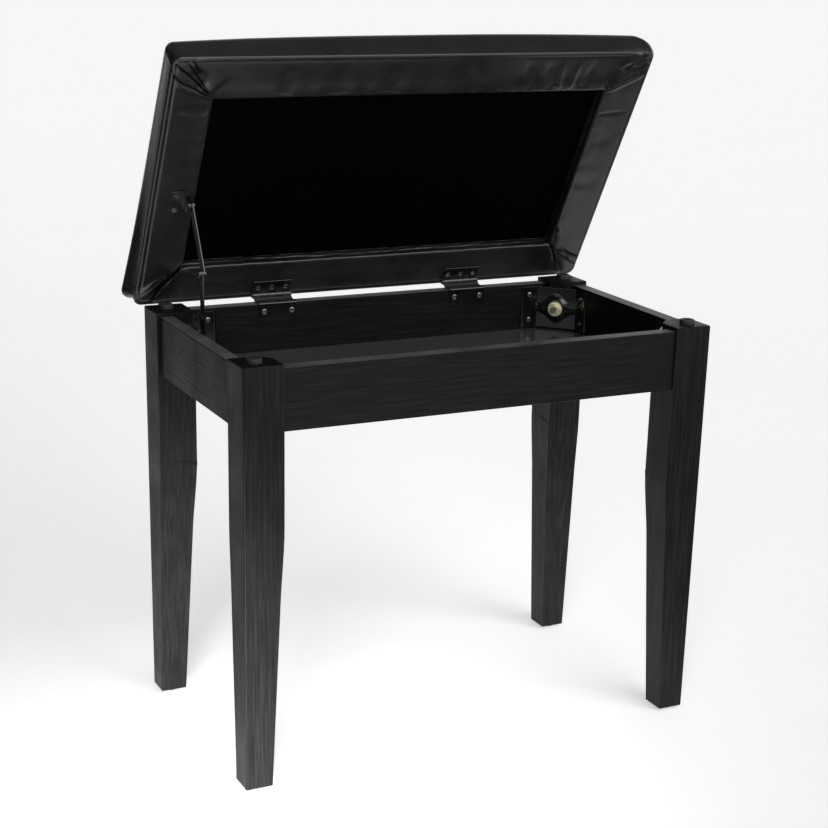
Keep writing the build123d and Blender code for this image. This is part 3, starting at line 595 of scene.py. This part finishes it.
def underside_relief(x, y, inset):
    """How far the leather stands out from the border: pleats, creases and puckers."""
    h = np.zeros(x.shape)
    for pleat in PLEATS:
        h += fold(x, y, *pleat)
    for soft_ridge in RIDGES:
        h += ridge(x, y, *soft_ridge)
    for path, depth, width in HOLLOWS:
        h -= ridge(x, y, path, depth, width)
    for at, lean, depth, width in FRONT_DIPS:
        path = mm((at, -150), (at + lean, -112))
        h -= ridge(x, y, path, depth / 1000.0, width / 1000.0, (0.5, 0.02))
    for side, at, depth, width in SIDE_DIPS:
        path = mm((side * 268, at - 3), (side * 231, at))
        h -= ridge(x, y, path, depth / 1000.0, width / 1000.0, (0.3, 0.1))
    # slow unevenness everywhere, and puckers at the stapled inner edge
    inner = ease((inset - 0.012) / 0.034)
    h += 0.00028 * waves(x, 3, 90.0) * (0.4 + inner)
    h += 0.00028 * waves(y, 5, 110.0) * (0.4 + inner)
    across = np.where(np.abs(y) - HALF_LY > np.abs(x) - HALF_LX, x, y)
    pucker = np.sin(across * 2 * math.pi / 0.021 + 2.0 * waves(across, 9, 30.0, 3))
    h += 0.00012 * pucker * ease((inset - 0.034) / 0.012)
    # a shallow crease just inside the outer edge, strongest at the left
    strength = np.where(x < -0.255, 1.0, 0.3)
    h -= 0.0009 * strength * np.exp(-((inset - 0.0052) / 0.0012) ** 2)
    h += 0.0003 * np.exp(-((inset - 0.0024) / 0.0012) ** 2)
    # the folds are pressed low where they meet the rubber bumpers
    from_bumper = np.hypot(np.abs(x) - BUMPER_X, np.abs(y) - BUMPER_Y)
    room = 0.0006 + 0.0030 * ease((from_bumper - BUMPER_R) / 0.010)
    h = np.where(h > 0, room * np.tanh(h / room), h)
    # nothing sinks into the wooden rails, and no fold stands out far
    return np.clip(h, -DEEPEST, HIGHEST) * ease((inset - 0.0005) / 0.003)


def fullness_at(u, v):
    """How full the padding is round the lid: flat at the front left, full at the hinge left."""
    u, v = (u + 1) / 2, (v + 1) / 2
    left = -0.25 + 2.3 * v ** 3
    right = 1.35 - 0.35 * v
    return left * (1 - u) + right * u


def bump_at(n, middle, width):
    """A smooth bump, 1 high, in the middle of a range of heights."""
    return math.exp(-((n - middle) / width) ** 2)


def cushion_surface(fine):
    """Vertices of the closed leather form (rings by samples) and its parameters."""
    layout = ring_layout(fine)
    rows = section(FINE if fine else COARSE)
    grid = np.zeros((len(rows), len(layout[0]), 3))
    for index, (inset, n, zone) in enumerate(rows):
        x, y = ring_points(layout, inset, n)
        height = np.full(x.shape, n)
        if zone in ("top", "side"):
            along_x = np.clip(1 - np.abs(x / HALF_LX) ** 2.8, 0, 1)
            along_y = np.clip(1 - np.abs(y / HALF_LY) ** 2.4, 0, 1)
            lift = EDGE_LIFT * (1 - (1 - along_x) * (1 - END_SHARE * along_y))
            lift += CROWN * along_x * along_y
            height = height + lift * (n / LID_T) ** 1.5
        if zone == "side":
            fullness = fullness_at(x / HALF_LX, y / HALF_LY)
            to_right = ease(x / HALF_LX)
            high = BELLY * bump_at(n, 0.025, 0.0095) - 0.0002 * bump_at(n, 0.006, 0.004)
            low = BELLY * bump_at(n, 0.019, 0.0125)
            belly = high * (1 - to_right) + low * to_right
            x, y = x * (1 + belly * fullness / HALF_LX), y * (1 + belly * fullness / HALF_LY)
        grid[index, :, 0] = x
        grid[index, :, 1] = y
        grid[index, :, 2] = height
    return grid, rows, layout


def grid_faces(row_count, column_count):
    """Quads joining the rings."""
    faces = []
    for i in range(row_count - 1):
        for j in range(column_count):
            k = (j + 1) % column_count
            faces.append((i * column_count + j, (i + 1) * column_count + j,
                          (i + 1) * column_count + k, i * column_count + k))
    return faces


def open_grid_faces(row_count, column_count):
    """Quads of a sheet that is open on all four sides."""
    return [(i * column_count + j, i * column_count + j + 1,
             (i + 1) * column_count + j + 1, (i + 1) * column_count + j)
            for i in range(row_count - 1) for j in range(column_count - 1)]


def cap_faces(layout, first, flip):
    """Close one ring: the two long sides are bridged, the two ends filled."""
    kind = layout[0]
    front = np.where(kind == 0)[0]
    back = np.where(kind == 2)[0][::-1]
    right_end = np.where((kind == 4) | (kind == 1) | (kind == 5))[0]
    left_end = np.where((kind == 6) | (kind == 3) | (kind == 7))[0]
    faces = list(zip(front, front[1:], back[1:], back))
    faces.append([front[-1], *right_end, back[-1]])
    faces.append([back[0], *left_end, front[0]])
    order = -1 if flip else 1
    return [[int(first + v) for v in face][::order] for face in faces]


def to_rest(points):
    """Lid coordinates to the world, with the lid open."""
    x = points[:, 0]
    y = points[:, 1] + SHIFT_Y - AXIS_Y
    z = points[:, 2] + LID_UNDER - AXIS_Z
    c, s = math.cos(-LID_OPEN), math.sin(-LID_OPEN)
    return np.stack([x, AXIS_Y + y * c - z * s, AXIS_Z + y * s + z * c], axis=1)


def new_mesh(name, points, faces, smooth=True):
    """A mesh object from points and faces."""
    mesh = bpy.data.meshes.new(name)
    mesh.from_pydata([tuple(p) for p in points], [], faces)
    mesh.update()
    if smooth:
        mesh.polygons.foreach_set("use_smooth", [True] * len(mesh.polygons))
    obj = bpy.data.objects.new(name, mesh)
    bpy.context.scene.collection.objects.link(obj)
    return obj


def face_outward(obj):
    """Make every face of a closed form look outward."""
    work = bmesh.new()
    work.from_mesh(obj.data)
    bmesh.ops.recalc_face_normals(work, faces=work.faces)
    work.to_mesh(obj.data)
    work.free()


def inflate(grid, rows, layout):
    """Blow the foam side out a little with cloth; everything at the wood stays pinned."""
    count_r, count_c = grid.shape[:2]
    flat = grid.reshape(-1, 3)
    faces = grid_faces(count_r, count_c) + cap_faces(layout, 0, False)
    faces += cap_faces(layout, (count_r - 1) * count_c, True)
    probe = new_mesh("cushion_probe", flat, faces)
    face_outward(probe)
    pins = probe.vertex_groups.new(name="pins")
    for index, (_, n, zone) in enumerate(rows):
        if zone != "top" and n <= FOAM_FROM:
            pins.add(list(range(index * count_c, (index + 1) * count_c)), 1.0, "REPLACE")
    cloth_mod = probe.modifiers.new("cloth", "CLOTH")
    settings = cloth_mod.settings
    settings.quality = 6
    settings.mass = 0.35
    settings.tension_stiffness = 20
    settings.compression_stiffness = 20
    settings.shear_stiffness = 8
    settings.bending_stiffness = 1.2
    settings.use_pressure = True
    settings.uniform_pressure_force = PRESSURE
    settings.shrink_min = -0.012
    settings.vertex_group_mass = "pins"
    settings.effector_weights.gravity = 0.0
    cloth_mod.collision_settings.use_collision = False
    cloth_mod.point_cache.frame_start = 1
    cloth_mod.point_cache.frame_end = CLOTH_FRAMES
    scene = bpy.context.scene
    for number in range(1, CLOTH_FRAMES + 1):
        scene.frame_set(number)
    shape = probe.evaluated_get(bpy.context.evaluated_depsgraph_get()).to_mesh()
    moved = np.zeros(len(shape.vertices) * 3)
    shape.vertices.foreach_get("co", moved)
    normals = np.zeros(len(flat) * 3)
    probe.data.vertices.foreach_get("normal", normals)
    normals = normals.reshape(-1, 3)
    moved = moved.reshape(-1, 3) - flat
    scene.frame_set(1)
    bpy.data.objects.remove(probe, do_unlink=True)
    outward = np.clip((moved * normals).sum(axis=1), 0.0, None)
    outward = SWELL * np.tanh(outward / SWELL)
    return (normals * outward[:, None]).reshape(count_r, count_c, 3)


def ring_position(layout):
    """Perimeter samples as one rising number, shared by coarse and fine rings."""
    kind, mark = layout
    return 2 * (kind % 4) + (kind >= 4) + mark


def row_position(rows):
    """Section rows as one rising number, by distance along the section."""
    marks = [0.0]
    for (i0, n0, _), (i1, n1, _) in zip(rows, rows[1:]):
        marks.append(marks[-1] + math.hypot(i1 - i0, n1 - n0))
    return np.array(marks) / marks[-1]


def resample(coarse, rows_a, layout_a, rows_b, layout_b):
    """Carry a displacement from the coarse grid onto the fine one."""
    around_a, around_b = ring_position(layout_a), ring_position(layout_b)
    down_a, down_b = row_position(rows_a), row_position(rows_b)
    around_a = np.append(around_a, around_a[0] + 8.0)
    closed = np.concatenate([coarse, coarse[:, :1]], axis=1)
    columns = np.zeros((len(down_a), len(around_b), 3))
    fine = np.zeros((len(down_b), len(around_b), 3))
    for axis in range(3):
        for i in range(len(down_a)):
            columns[i, :, axis] = np.interp(around_b, around_a, closed[i, :, axis])
        for j in range(len(around_b)):
            fine[:, j, axis] = np.interp(down_b, down_a, columns[:, j, axis])
    return fine


def wall_push(x, y, deep):
    """How far the leather bulges off the recess wall: two soft rolls with a crease between."""
    across = np.where(np.abs(y) > RECESS_Y_IN, x, y)
    crease = 0.50 + 0.10 * waves(across, 13, 25.0, 3) + 0.04 * waves(across, 31, 90.0, 3)
    lower = np.sin(math.pi * np.clip(deep / crease, 0, 1)) ** 0.7
    upper = np.sin(math.pi * np.clip((deep - crease) / (1 - crease), 0, 1)) ** 0.7
    push = 0.0013 * np.where(deep < crease, lower, upper)
    ripple = 0.0004 * waves(across, 21, 140.0) + 0.0003 * waves(across + deep, 17, 60.0)
    return np.clip(push + ripple * ease(deep * 3), 0.0, 0.0019)


grid, rows, layout = cushion_surface(True)
coarse_grid, coarse_rows, coarse_layout = cushion_surface(False)
puff = inflate(coarse_grid, coarse_rows, coarse_layout)
grid = grid + resample(puff, coarse_rows, coarse_layout, rows, layout)

shade = np.zeros(grid.shape[:2])
for index, (inset, n, zone) in enumerate(rows):
    x, y = grid[index, :, 0], grid[index, :, 1]
    if zone == "under":
        # painted shade along the pleats' crevices, kept on the mesh for the leather
        shade[index] = crevice_shade(x, y) * ease((inset - 0.001) / 0.004)
        grid[index, :, 2] -= underside_relief(x, y, np.full(x.shape, inset))
    if zone == "wall":
        deep = min(max(n / RECESS_DEPTH, 0.0), 1.0)
        push = wall_push(x, y, deep)
        grid[index, :, 2] -= underside_relief(x, y, np.full(x.shape, BORDER)) * (1 - deep) ** 2
        grid[index, :, 0] -= np.sign(x) * push * (np.abs(x) > RECESS_X_IN)
        grid[index, :, 1] -= np.sign(y) * push * (np.abs(y) > RECESS_Y_IN)

points = to_rest(grid.reshape(-1, 3))
faces = grid_faces(grid.shape[0], grid.shape[1])
faces += cap_faces(layout, 0, False)
faces += cap_faces(layout, (grid.shape[0] - 1) * grid.shape[1], True)
cushion = new_mesh("leather_cushion", points, faces)
# the painted crevice shade, read by the leather material
crevice_shade_layer = cushion.data.attributes.new("painted_crevice_shade", "FLOAT", "POINT")
crevice_shade_layer.data.foreach_set("value", shade.ravel())
face_outward(cushion)
paint(cushion, leather_mat)
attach(cushion, "lid")
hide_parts("seat_cover", "seat_foam")


# ---------------- the lid's dust cover
# Thin black cloth stapled flat under the seat board: it dips a little between its staples.

DUST_W = 0.456
DUST_L = 0.214
DUST_N = 0.0128           # its outer face, up from the lid's underside
DUST_SAG = 0.0010
DUST_T = 0.0004


def dust_sheet():
    """A closed thin sheet with a slow sag and small tension waves along its edges."""
    across = np.linspace(-DUST_W / 2, DUST_W / 2, 153)
    deep = np.linspace(-DUST_L / 2, DUST_L / 2, 73)
    x, y = np.meshgrid(across, deep)
    x, y = x.ravel(), y.ravel()
    inner = ease((DUST_W / 2 - np.abs(x)) / 0.06) * ease((DUST_L / 2 - np.abs(y)) / 0.05)
    dip = DUST_SAG * inner
    dip += 0.00025 * inner * (waves(x, 41, 60.0, 3) + waves(y, 43, 70.0, 3))
    outer = np.stack([x, y, DUST_N - dip], axis=1)
    inner_face = outer + np.array([0.0, 0.0, DUST_T])
    per, count = len(across), len(x)
    faces = []
    for quad in open_grid_faces(len(deep), per):
        faces.append(quad[::-1])
        faces.append(tuple(count + v for v in quad))
    rim = list(range(per))
    rim += [i * per + per - 1 for i in range(1, len(deep))]
    rim += [(len(deep) - 1) * per + j for j in range(per - 2, -1, -1)]
    rim += [i * per for i in range(len(deep) - 2, 0, -1)]
    for a, b in zip(rim, rim[1:] + rim[:1]):
        faces.append((a, b, count + b, count + a))
    sheet = new_mesh("dust_cloth", to_rest(np.concatenate([outer, inner_face])), faces)
    face_outward(sheet)
    return sheet


dust = dust_sheet()
paint(dust, cloth)
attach(dust, "lid")
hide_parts("dust_cover")


# ---------------- pressed corner brackets
# Legs-centred coordinates of the back right corner; the other three are mirrored.

IN_X = 0.249              # inner faces of the aprons
IN_Y = 0.131
SHEET_T = 0.0018
PLATE_SUM = 0.34480       # x + y on the plate's back
BRACKET_LOW = 0.3944      # lower and upper edge, above the floor
BRACKET_HIGH = 0.4428
FLANGE = 0.020            # part that lies along an apron
LIP = 0.005               # end of the flange, bent into the apron
BEND = 0.0024             # radius of the bends
EMBOSS = 0.004            # height of the pressed rib
EMBOSS_WIDE = 0.0125      # the rib widens round the bolt over this length
BRACKET_STEP = 0.0008     # mesh step along the sheet
BRACKET_LEVELS = 62


def apply_modifiers(obj):
    """Replace an object's mesh by its evaluated shape."""
    graph = bpy.context.evaluated_depsgraph_get()
    mesh = bpy.data.meshes.new_from_object(obj.evaluated_get(graph))
    obj.modifiers.clear()
    old = obj.data
    obj.data = mesh
    bpy.data.meshes.remove(old)


def bent_line(corners, bend, step):
    """A polyline with rounded corners, as evenly spaced points."""
    out = [Vector(corners[0])]
    for before_c, corner, after_c in zip(corners, corners[1:], corners[2:]):
        a = (Vector(before_c) - Vector(corner)).normalized()
        b = (Vector(after_c) - Vector(corner)).normalized()
        half = a.angle(b) / 2
        reach = bend / math.tan(half)
        start = Vector(corner) + a * reach
        end = Vector(corner) + b * reach
        centre = Vector(corner) + (a + b).normalized() * (bend / math.sin(half))
        for t in np.linspace(0.0, 1.0, 7):
            arm = (start - centre).lerp(end - centre, t)
            out.append(centre + arm.normalized() * bend)
    out.append(Vector(corners[-1]))
    dense = [out[0]]
    for p, q in zip(out, out[1:]):
        count = max(1, int((q - p).length / step))
        dense += [p.lerp(q, (k + 1) / count) for k in range(count)]
    return dense


def emboss_height(along, up):
    """The pressed eye shape: a rib that widens round the bolt."""
    half_height = 0.0050 + 0.0125 * np.exp(-(along / EMBOSS_WIDE) ** 2)
    body = 1.0 - ease((np.abs(up) / half_height - 0.30) / 0.78)
    ends = 1.0 - 0.55 * ease((np.abs(along) - 0.0150) / 0.0085)
    crest = 0.72 + 0.28 * np.exp(-(along / EMBOSS_WIDE) ** 4)
    near_bolt = 1.0 - ease((np.hypot(along, up) - 0.0095) / 0.006)
    return EMBOSS * np.maximum(body * ends * crest, near_bolt)


def bracket_mesh(name, sign_x, sign_y):
    """One bracket as bent sheet with its emboss, thickened to the real gauge."""
    half = SHEET_T / 2
    mid_sum = PLATE_SUM - half * math.sqrt(2)
    back_fold = mid_sum - (IN_Y - half)
    end_fold = mid_sum - (IN_X - half)
    line = bent_line([
        (back_fold - FLANGE, IN_Y + LIP),
        (back_fold - FLANGE, IN_Y - half),
        (back_fold, IN_Y - half),
        (IN_X - half, end_fold),
        (IN_X - half, end_fold - FLANGE),
        (IN_X + LIP, end_fold - FLANGE),
    ], BEND, BRACKET_STEP)
    middle = Vector(((back_fold + IN_X - half) / 2, (IN_Y - half + end_fold) / 2))
    inward = Vector((-1, -1)).normalized()
    levels = np.linspace(BRACKET_LOW, BRACKET_HIGH, BRACKET_LEVELS)
    mid_z = (BRACKET_LOW + BRACKET_HIGH) / 2
    rows = []
    for point in line:
        off = point - middle
        on_plate = abs(off.dot(inward)) < 0.0006
        along = off.dot(Vector((1, -1)).normalized())
        rise = 0.0 * levels
        if on_plate:
            rise = emboss_height(np.full(levels.shape, along), levels - mid_z)
        for z, h in zip(levels, rise):
            x = sign_x * (point.x + inward.x * h)
            y = sign_y * (point.y + inward.y * h) + SHIFT_Y
            rows.append((x, y, z))
    order = 1 if sign_x * sign_y > 0 else -1
    faces = [quad[::order] for quad in open_grid_faces(len(line), len(levels))]
    obj = new_mesh(name, np.array(rows), faces)
    thick = obj.modifiers.new("gauge", "SOLIDIFY")
    thick.thickness = SHEET_T
    thick.offset = 0.0
    edge = obj.modifiers.new("edge", "BEVEL")
    edge.width = 0.00035
    edge.segments = 2
    edge.limit_method = "ANGLE"
    edge.angle_limit = math.radians(50)
    apply_modifiers(obj)
    face_outward(obj)
    obj.data.set_sharp_from_angle(angle=math.radians(48))
    return obj


def soften(node_name, width, shortest):
    """Stand in for a CAD node with the same solid, its long sharp edges eased."""
    source = nodes[node_name]
    work = bmesh.new()
    work.from_mesh(source.data)
    bmesh.ops.remove_doubles(work, verts=work.verts, dist=0.000004)
    bmesh.ops.dissolve_limit(work, angle_limit=math.radians(0.6), verts=work.verts, edges=work.edges)
    chosen = []
    for edge in work.edges:
        if len(edge.link_faces) == 2 and edge.calc_length() > shortest:
            if edge.calc_face_angle() > math.radians(35):
                chosen.append(edge)
    bmesh.ops.bevel(work, geom=chosen, offset=width, offset_type="OFFSET", segments=2, profile=0.5,
                    affect="EDGES", clamp_overlap=False)
    mesh = bpy.data.meshes.new(node_name + "_eased")
    work.to_mesh(mesh)
    work.free()
    mesh.polygons.foreach_set("use_smooth", [True] * len(mesh.polygons))
    mesh.set_sharp_from_angle(angle=math.radians(32))
    obj = bpy.data.objects.new(node_name + "_eased", mesh)
    bpy.context.scene.collection.objects.link(obj)
    paint(obj, source.data.materials[0])
    weighted = obj.modifiers.new("normals", "WEIGHTED_NORMAL")
    weighted.keep_sharp = True
    weighted.weight = 90
    apply_modifiers(obj)
    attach(obj, BODY_OF[node_name])
    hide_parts(node_name)
    return obj


CORNERS = {
    "front_left": (-1, -1),
    "front_right": (1, -1),
    "back_left": (-1, 1),
    "back_right": (1, 1),
}
for corner, (sign_x, sign_y) in CORNERS.items():
    bracket = bracket_mesh("pressed_bracket_" + corner, sign_x, sign_y)
    paint(bracket, steel)
    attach(bracket, "bench")
    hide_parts("corner_bracket_" + corner)

WOOD_EASE = 0.0007        # width of the eased edges
STEEL_EASE = 0.0003
BODY_OF = {"leg_" + corner: "bench" for corner in CORNERS}
BODY_OF |= {"apron_" + side: "bench" for side in ("front", "back", "left", "right")}
BODY_OF |= {
    "hinge_left_box_leaf": "bench",
    "hinge_right_box_leaf": "bench",
    "hinge_left_lid_leaf": "lid",
    "hinge_right_lid_leaf": "lid",
    "stay_lower_arm": "stay_lower",
    "stay_upper_arm": "stay_upper",
    "stay_lid_bracket": "lid",
    "stay_apron_plate": "bench",
}
for node_name in BODY_OF:
    if node_name.startswith(("apron_", "leg_")):
        soften(node_name, WOOD_EASE, 0.006)
    else:
        soften(node_name, STEEL_EASE, 0.002)


SCREW_TURNS = 40
CROSS_ARM = 0.00062       # the cross recess: half its arm's width
CROSS_REACH = 0.56        # how far its arms reach, as a share of the head's radius
CROSS_DEPTH = 0.0011


def islands(mesh):
    """The separate solids of a mesh, each as an array of points."""
    work = bmesh.new()
    work.from_mesh(mesh)
    bmesh.ops.remove_doubles(work, verts=work.verts, dist=0.000004)
    seen = set()
    groups = []
    for first in work.verts:
        if first.index in seen:
            continue
        stack, found = [first], []
        seen.add(first.index)
        while stack:
            vert = stack.pop()
            found.append(vert.co[:])
            for edge in vert.link_edges:
                other = edge.other_vert(vert)
                if other.index not in seen:
                    seen.add(other.index)
                    stack.append(other)
        groups.append(np.array(found))
    work.free()
    return groups


def screw_frame(solid):
    """A screw's head centre, outward axis, head radius and length, from its points."""
    middle = (solid.min(axis=0) + solid.max(axis=0)) / 2
    centred = solid - solid.mean(axis=0)
    axis = np.linalg.svd(centred, full_matrices=False)[2][0]
    along = (solid - middle) @ axis
    radial = np.linalg.norm((solid - middle) - np.outer(along, axis), axis=1)
    if along[radial > radial.max() * 0.9].mean() < 0:
        axis, along = -axis, -along
    centre = middle + axis * along.max()
    return centre, axis, radial.max(), along.max() - along.min()


def cross_depth(u, v, radius):
    """How deep the cross recess is at a point of the head."""
    arm = min(abs(u), abs(v))
    reach = max(abs(u), abs(v))
    inside = ease((CROSS_ARM - arm) / 0.00026) * ease((radius * CROSS_REACH - reach) / 0.0003)
    return CROSS_DEPTH * float(inside)


def screw_profile(radius, length, dome, flat_under):
    """The turned shape of a screw: (radius, height, is part of the head's top) rows."""
    profile = []
    for t in np.linspace(0.02, 1.0, 22):
        lift = dome * (1 - t ** 2.6)
        profile.append((radius * t, lift - (0.0002 if t > 0.97 else 0.0), True))
    if flat_under:
        profile += [(radius, -0.0016, False), (radius * 0.5, -0.0017, False)]
    else:
        profile += [(radius, -0.0004, False), (radius * 0.48, -0.0024, False)]
    return profile + [(radius * 0.44, 0.002 - length, False), (radius * 0.08, -length, False)]


def screws_with_recess(node_name, dome, flat_under):
    """Cross-recess screws in place of one group of CAD screws."""
    points, faces = [], []
    for solid in islands(nodes[node_name].data):
        centre, axis, radius, length = screw_frame(solid)
        side = np.cross(axis, (0.0, 0.0, 1.0) if abs(axis[2]) < 0.9 else (1.0, 0.0, 0.0))
        side /= np.linalg.norm(side)
        other = np.cross(axis, side)
        twist = rng.uniform(0, math.pi)
        profile = screw_profile(radius, length, dome, flat_under)
        first = len(points)
        for r, height, recessed in profile:
            for k in range(SCREW_TURNS):
                turn = k * 2 * math.pi / SCREW_TURNS
                deep = cross_depth(r * math.cos(turn), r * math.sin(turn), radius) if recessed else 0.0
                spot = centre + axis * (height - dome - deep + 0.00015)
                angle = twist + turn
                points.append(spot + side * (r * math.cos(angle)) + other * (r * math.sin(angle)))
        rings = len(profile)
        for face in grid_faces(rings, SCREW_TURNS):
            faces.append([first + v for v in face])
        faces.append([first + k for k in range(SCREW_TURNS)])
        faces.append([first + (rings - 1) * SCREW_TURNS + k for k in range(SCREW_TURNS)][::-1])
    obj = new_mesh(node_name + "_heads", np.array(points), faces)
    face_outward(obj)
    obj.data.set_sharp_from_angle(angle=math.radians(50))
    paint(obj, screw_mat)
    return obj


for node_name, body, dome, flat_under in (
        ("bracket_screws", "bench", 0.0009, True),
        ("hinge_box_screws", "bench", 0.0005, False),
        ("hinge_lid_screws", "lid", 0.0005, False),
        ("stay_apron_screws", "bench", 0.0005, False),
        ("stay_lid_screws", "lid", 0.0005, False)):
    heads = screws_with_recess(node_name, dome, flat_under)
    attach(heads, body)
    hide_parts(node_name)


# ---------------- floor, light and camera

FLOOR_SIZE = 30
FLOOR_GLOW = 0.38         # makes the floor nearly as white as the studio's
SUN_TOWARD = Vector((-0.25, 0.72, -0.65))
SUN_POWER = 1.7
SUN_SPREAD = math.radians(50)
LOW_PLACE = Vector((-0.85, -1.15, 0.10))
LOW_TARGET = Vector((-0.2, -0.05, 0.0))
LOW_POWER = 6
LOW_SPREAD = math.radians(36)
CARD_X = -0.85            # the upright card at the left


def flag(name, corners, on_floor=False):
    """A black card beside the set: it darkens reflections and is never seen itself."""
    card = new_mesh(name, np.array(corners), [(0, 1, 2, 3)], smooth=False)
    paint(card, mat_flag)
    card.visible_camera = False
    card.visible_shadow = False
    card.visible_diffuse = not on_floor


def lamp(name, kind, energy, toward):
    """A light that shines along a direction."""
    obj = bpy.data.objects.new(name, bpy.data.lights.new(name, kind))
    obj.data.energy = energy
    obj.rotation_euler = toward.to_track_quat("-Z", "Y").to_euler()
    bpy.context.scene.collection.objects.link(obj)
    return obj


mat_floor, tree, shader = new_material("studio_floor")
tone = noise(tree, coords(tree), 2.0, 2.0, 0.5)
white = ramp(tree, tone, [(0.3, grey(0.86)), (0.7, grey(0.88))])
tree.links.new(white, shader.inputs["Base Color"])
shader.inputs["Roughness"].default_value = 0.7
shader.inputs["Emission Color"].default_value = (1, 1, 1, 1)
shader.inputs["Emission Strength"].default_value = FLOOR_GLOW
bpy.ops.mesh.primitive_plane_add(size=FLOOR_SIZE, location=(0, 0, 0))
floor = bpy.context.object
floor.name = "studio_floor"
paint(floor, mat_floor)

world = bpy.data.worlds.new("studio")
bpy.context.scene.world = world
world.use_nodes = True
sky = world.node_tree
direction = sky.nodes.new("ShaderNodeTexCoord")
split = sky.nodes.new("ShaderNodeSeparateXYZ")
sky.links.new(direction.outputs["Generated"], split.inputs["Vector"])
dome = ramp(sky, split.outputs["Z"], [(0.0, grey(1.0)), (0.2, (0.9, 0.9, 0.91)), (0.62, (0.14, 0.14, 0.15))])
sky.links.new(dome, sky.nodes["Background"].inputs["Color"])
sky.nodes["Background"].inputs["Strength"].default_value = 1.0
bpy.context.scene.view_settings.view_transform = "Standard"

sun = lamp("front_sun", "SUN", SUN_POWER, SUN_TOWARD)
sun.data.angle = SUN_SPREAD
low = lamp("low_front", "AREA", LOW_POWER, LOW_TARGET - LOW_PLACE)
low.location = LOW_PLACE
low.data.shape = "RECTANGLE"
low.data.size = 0.6
low.data.size_y = 0.12
low.data.spread = LOW_SPREAD
low.visible_camera = False

mat_flag = plain_noise("black_flag", grey(0.01), grey(0.016), 20.0, rough=(0.9, 1.0), specular=0.0)
flag("flag_left", [(CARD_X, -0.25, 0.001), (CARD_X, 2.6, 0.001), (CARD_X, 2.6, 1.7), (CARD_X, -0.25, 1.7)])
for card_name, corners in (
        ("flag_low_left", ((-0.33, -0.10), (-0.33, 0.16), (-0.74, 1.06), (-0.74, 0.72))),
        ("flag_low_right", ((0.36, -1.4), (1.4, -1.4), (1.4, -0.25), (0.36, -0.25)))):
    flag(card_name, [(x, y, 0.001) for x, y in corners], on_floor=True)

# Camera: position, heading, tilt and roll fitted to the bench's own corners
CAM_PLACE = Vector((-0.8599, -1.7109 + SHIFT_Y, 0.8677))
CAM_YAW = math.radians(26.849)
CAM_PITCH = math.radians(19.416)
CAM_ROLL = math.radians(1.525)
CAM_LENS = 78.18          # millimetres, on a sensor 36 wide
CAM_SHIFT = (-0.01304, 0.15205)

cam_data = bpy.data.cameras.new("camera")
cam_data.sensor_fit = "HORIZONTAL"
cam_data.sensor_width = 36.0
cam_data.lens = CAM_LENS
cam_data.shift_x, cam_data.shift_y = CAM_SHIFT
cam_data.clip_start = 0.05
camera = bpy.data.objects.new("camera", cam_data)
bpy.context.scene.collection.objects.link(camera)
level = math.cos(CAM_PITCH)
forward = Vector((math.sin(CAM_YAW) * level, math.cos(CAM_YAW) * level, -math.sin(CAM_PITCH)))
right = Vector((math.cos(CAM_YAW), -math.sin(CAM_YAW), 0.0))
up = right.cross(forward)
right_rolled = math.cos(CAM_ROLL) * right + math.sin(CAM_ROLL) * up
up_rolled = -math.sin(CAM_ROLL) * right + math.cos(CAM_ROLL) * up
camera.location = CAM_PLACE
rotation = np.array([right_rolled, up_rolled, -forward]).T
camera.rotation_euler = Matrix(rotation.tolist()).to_euler()
bpy.context.scene.camera = camera
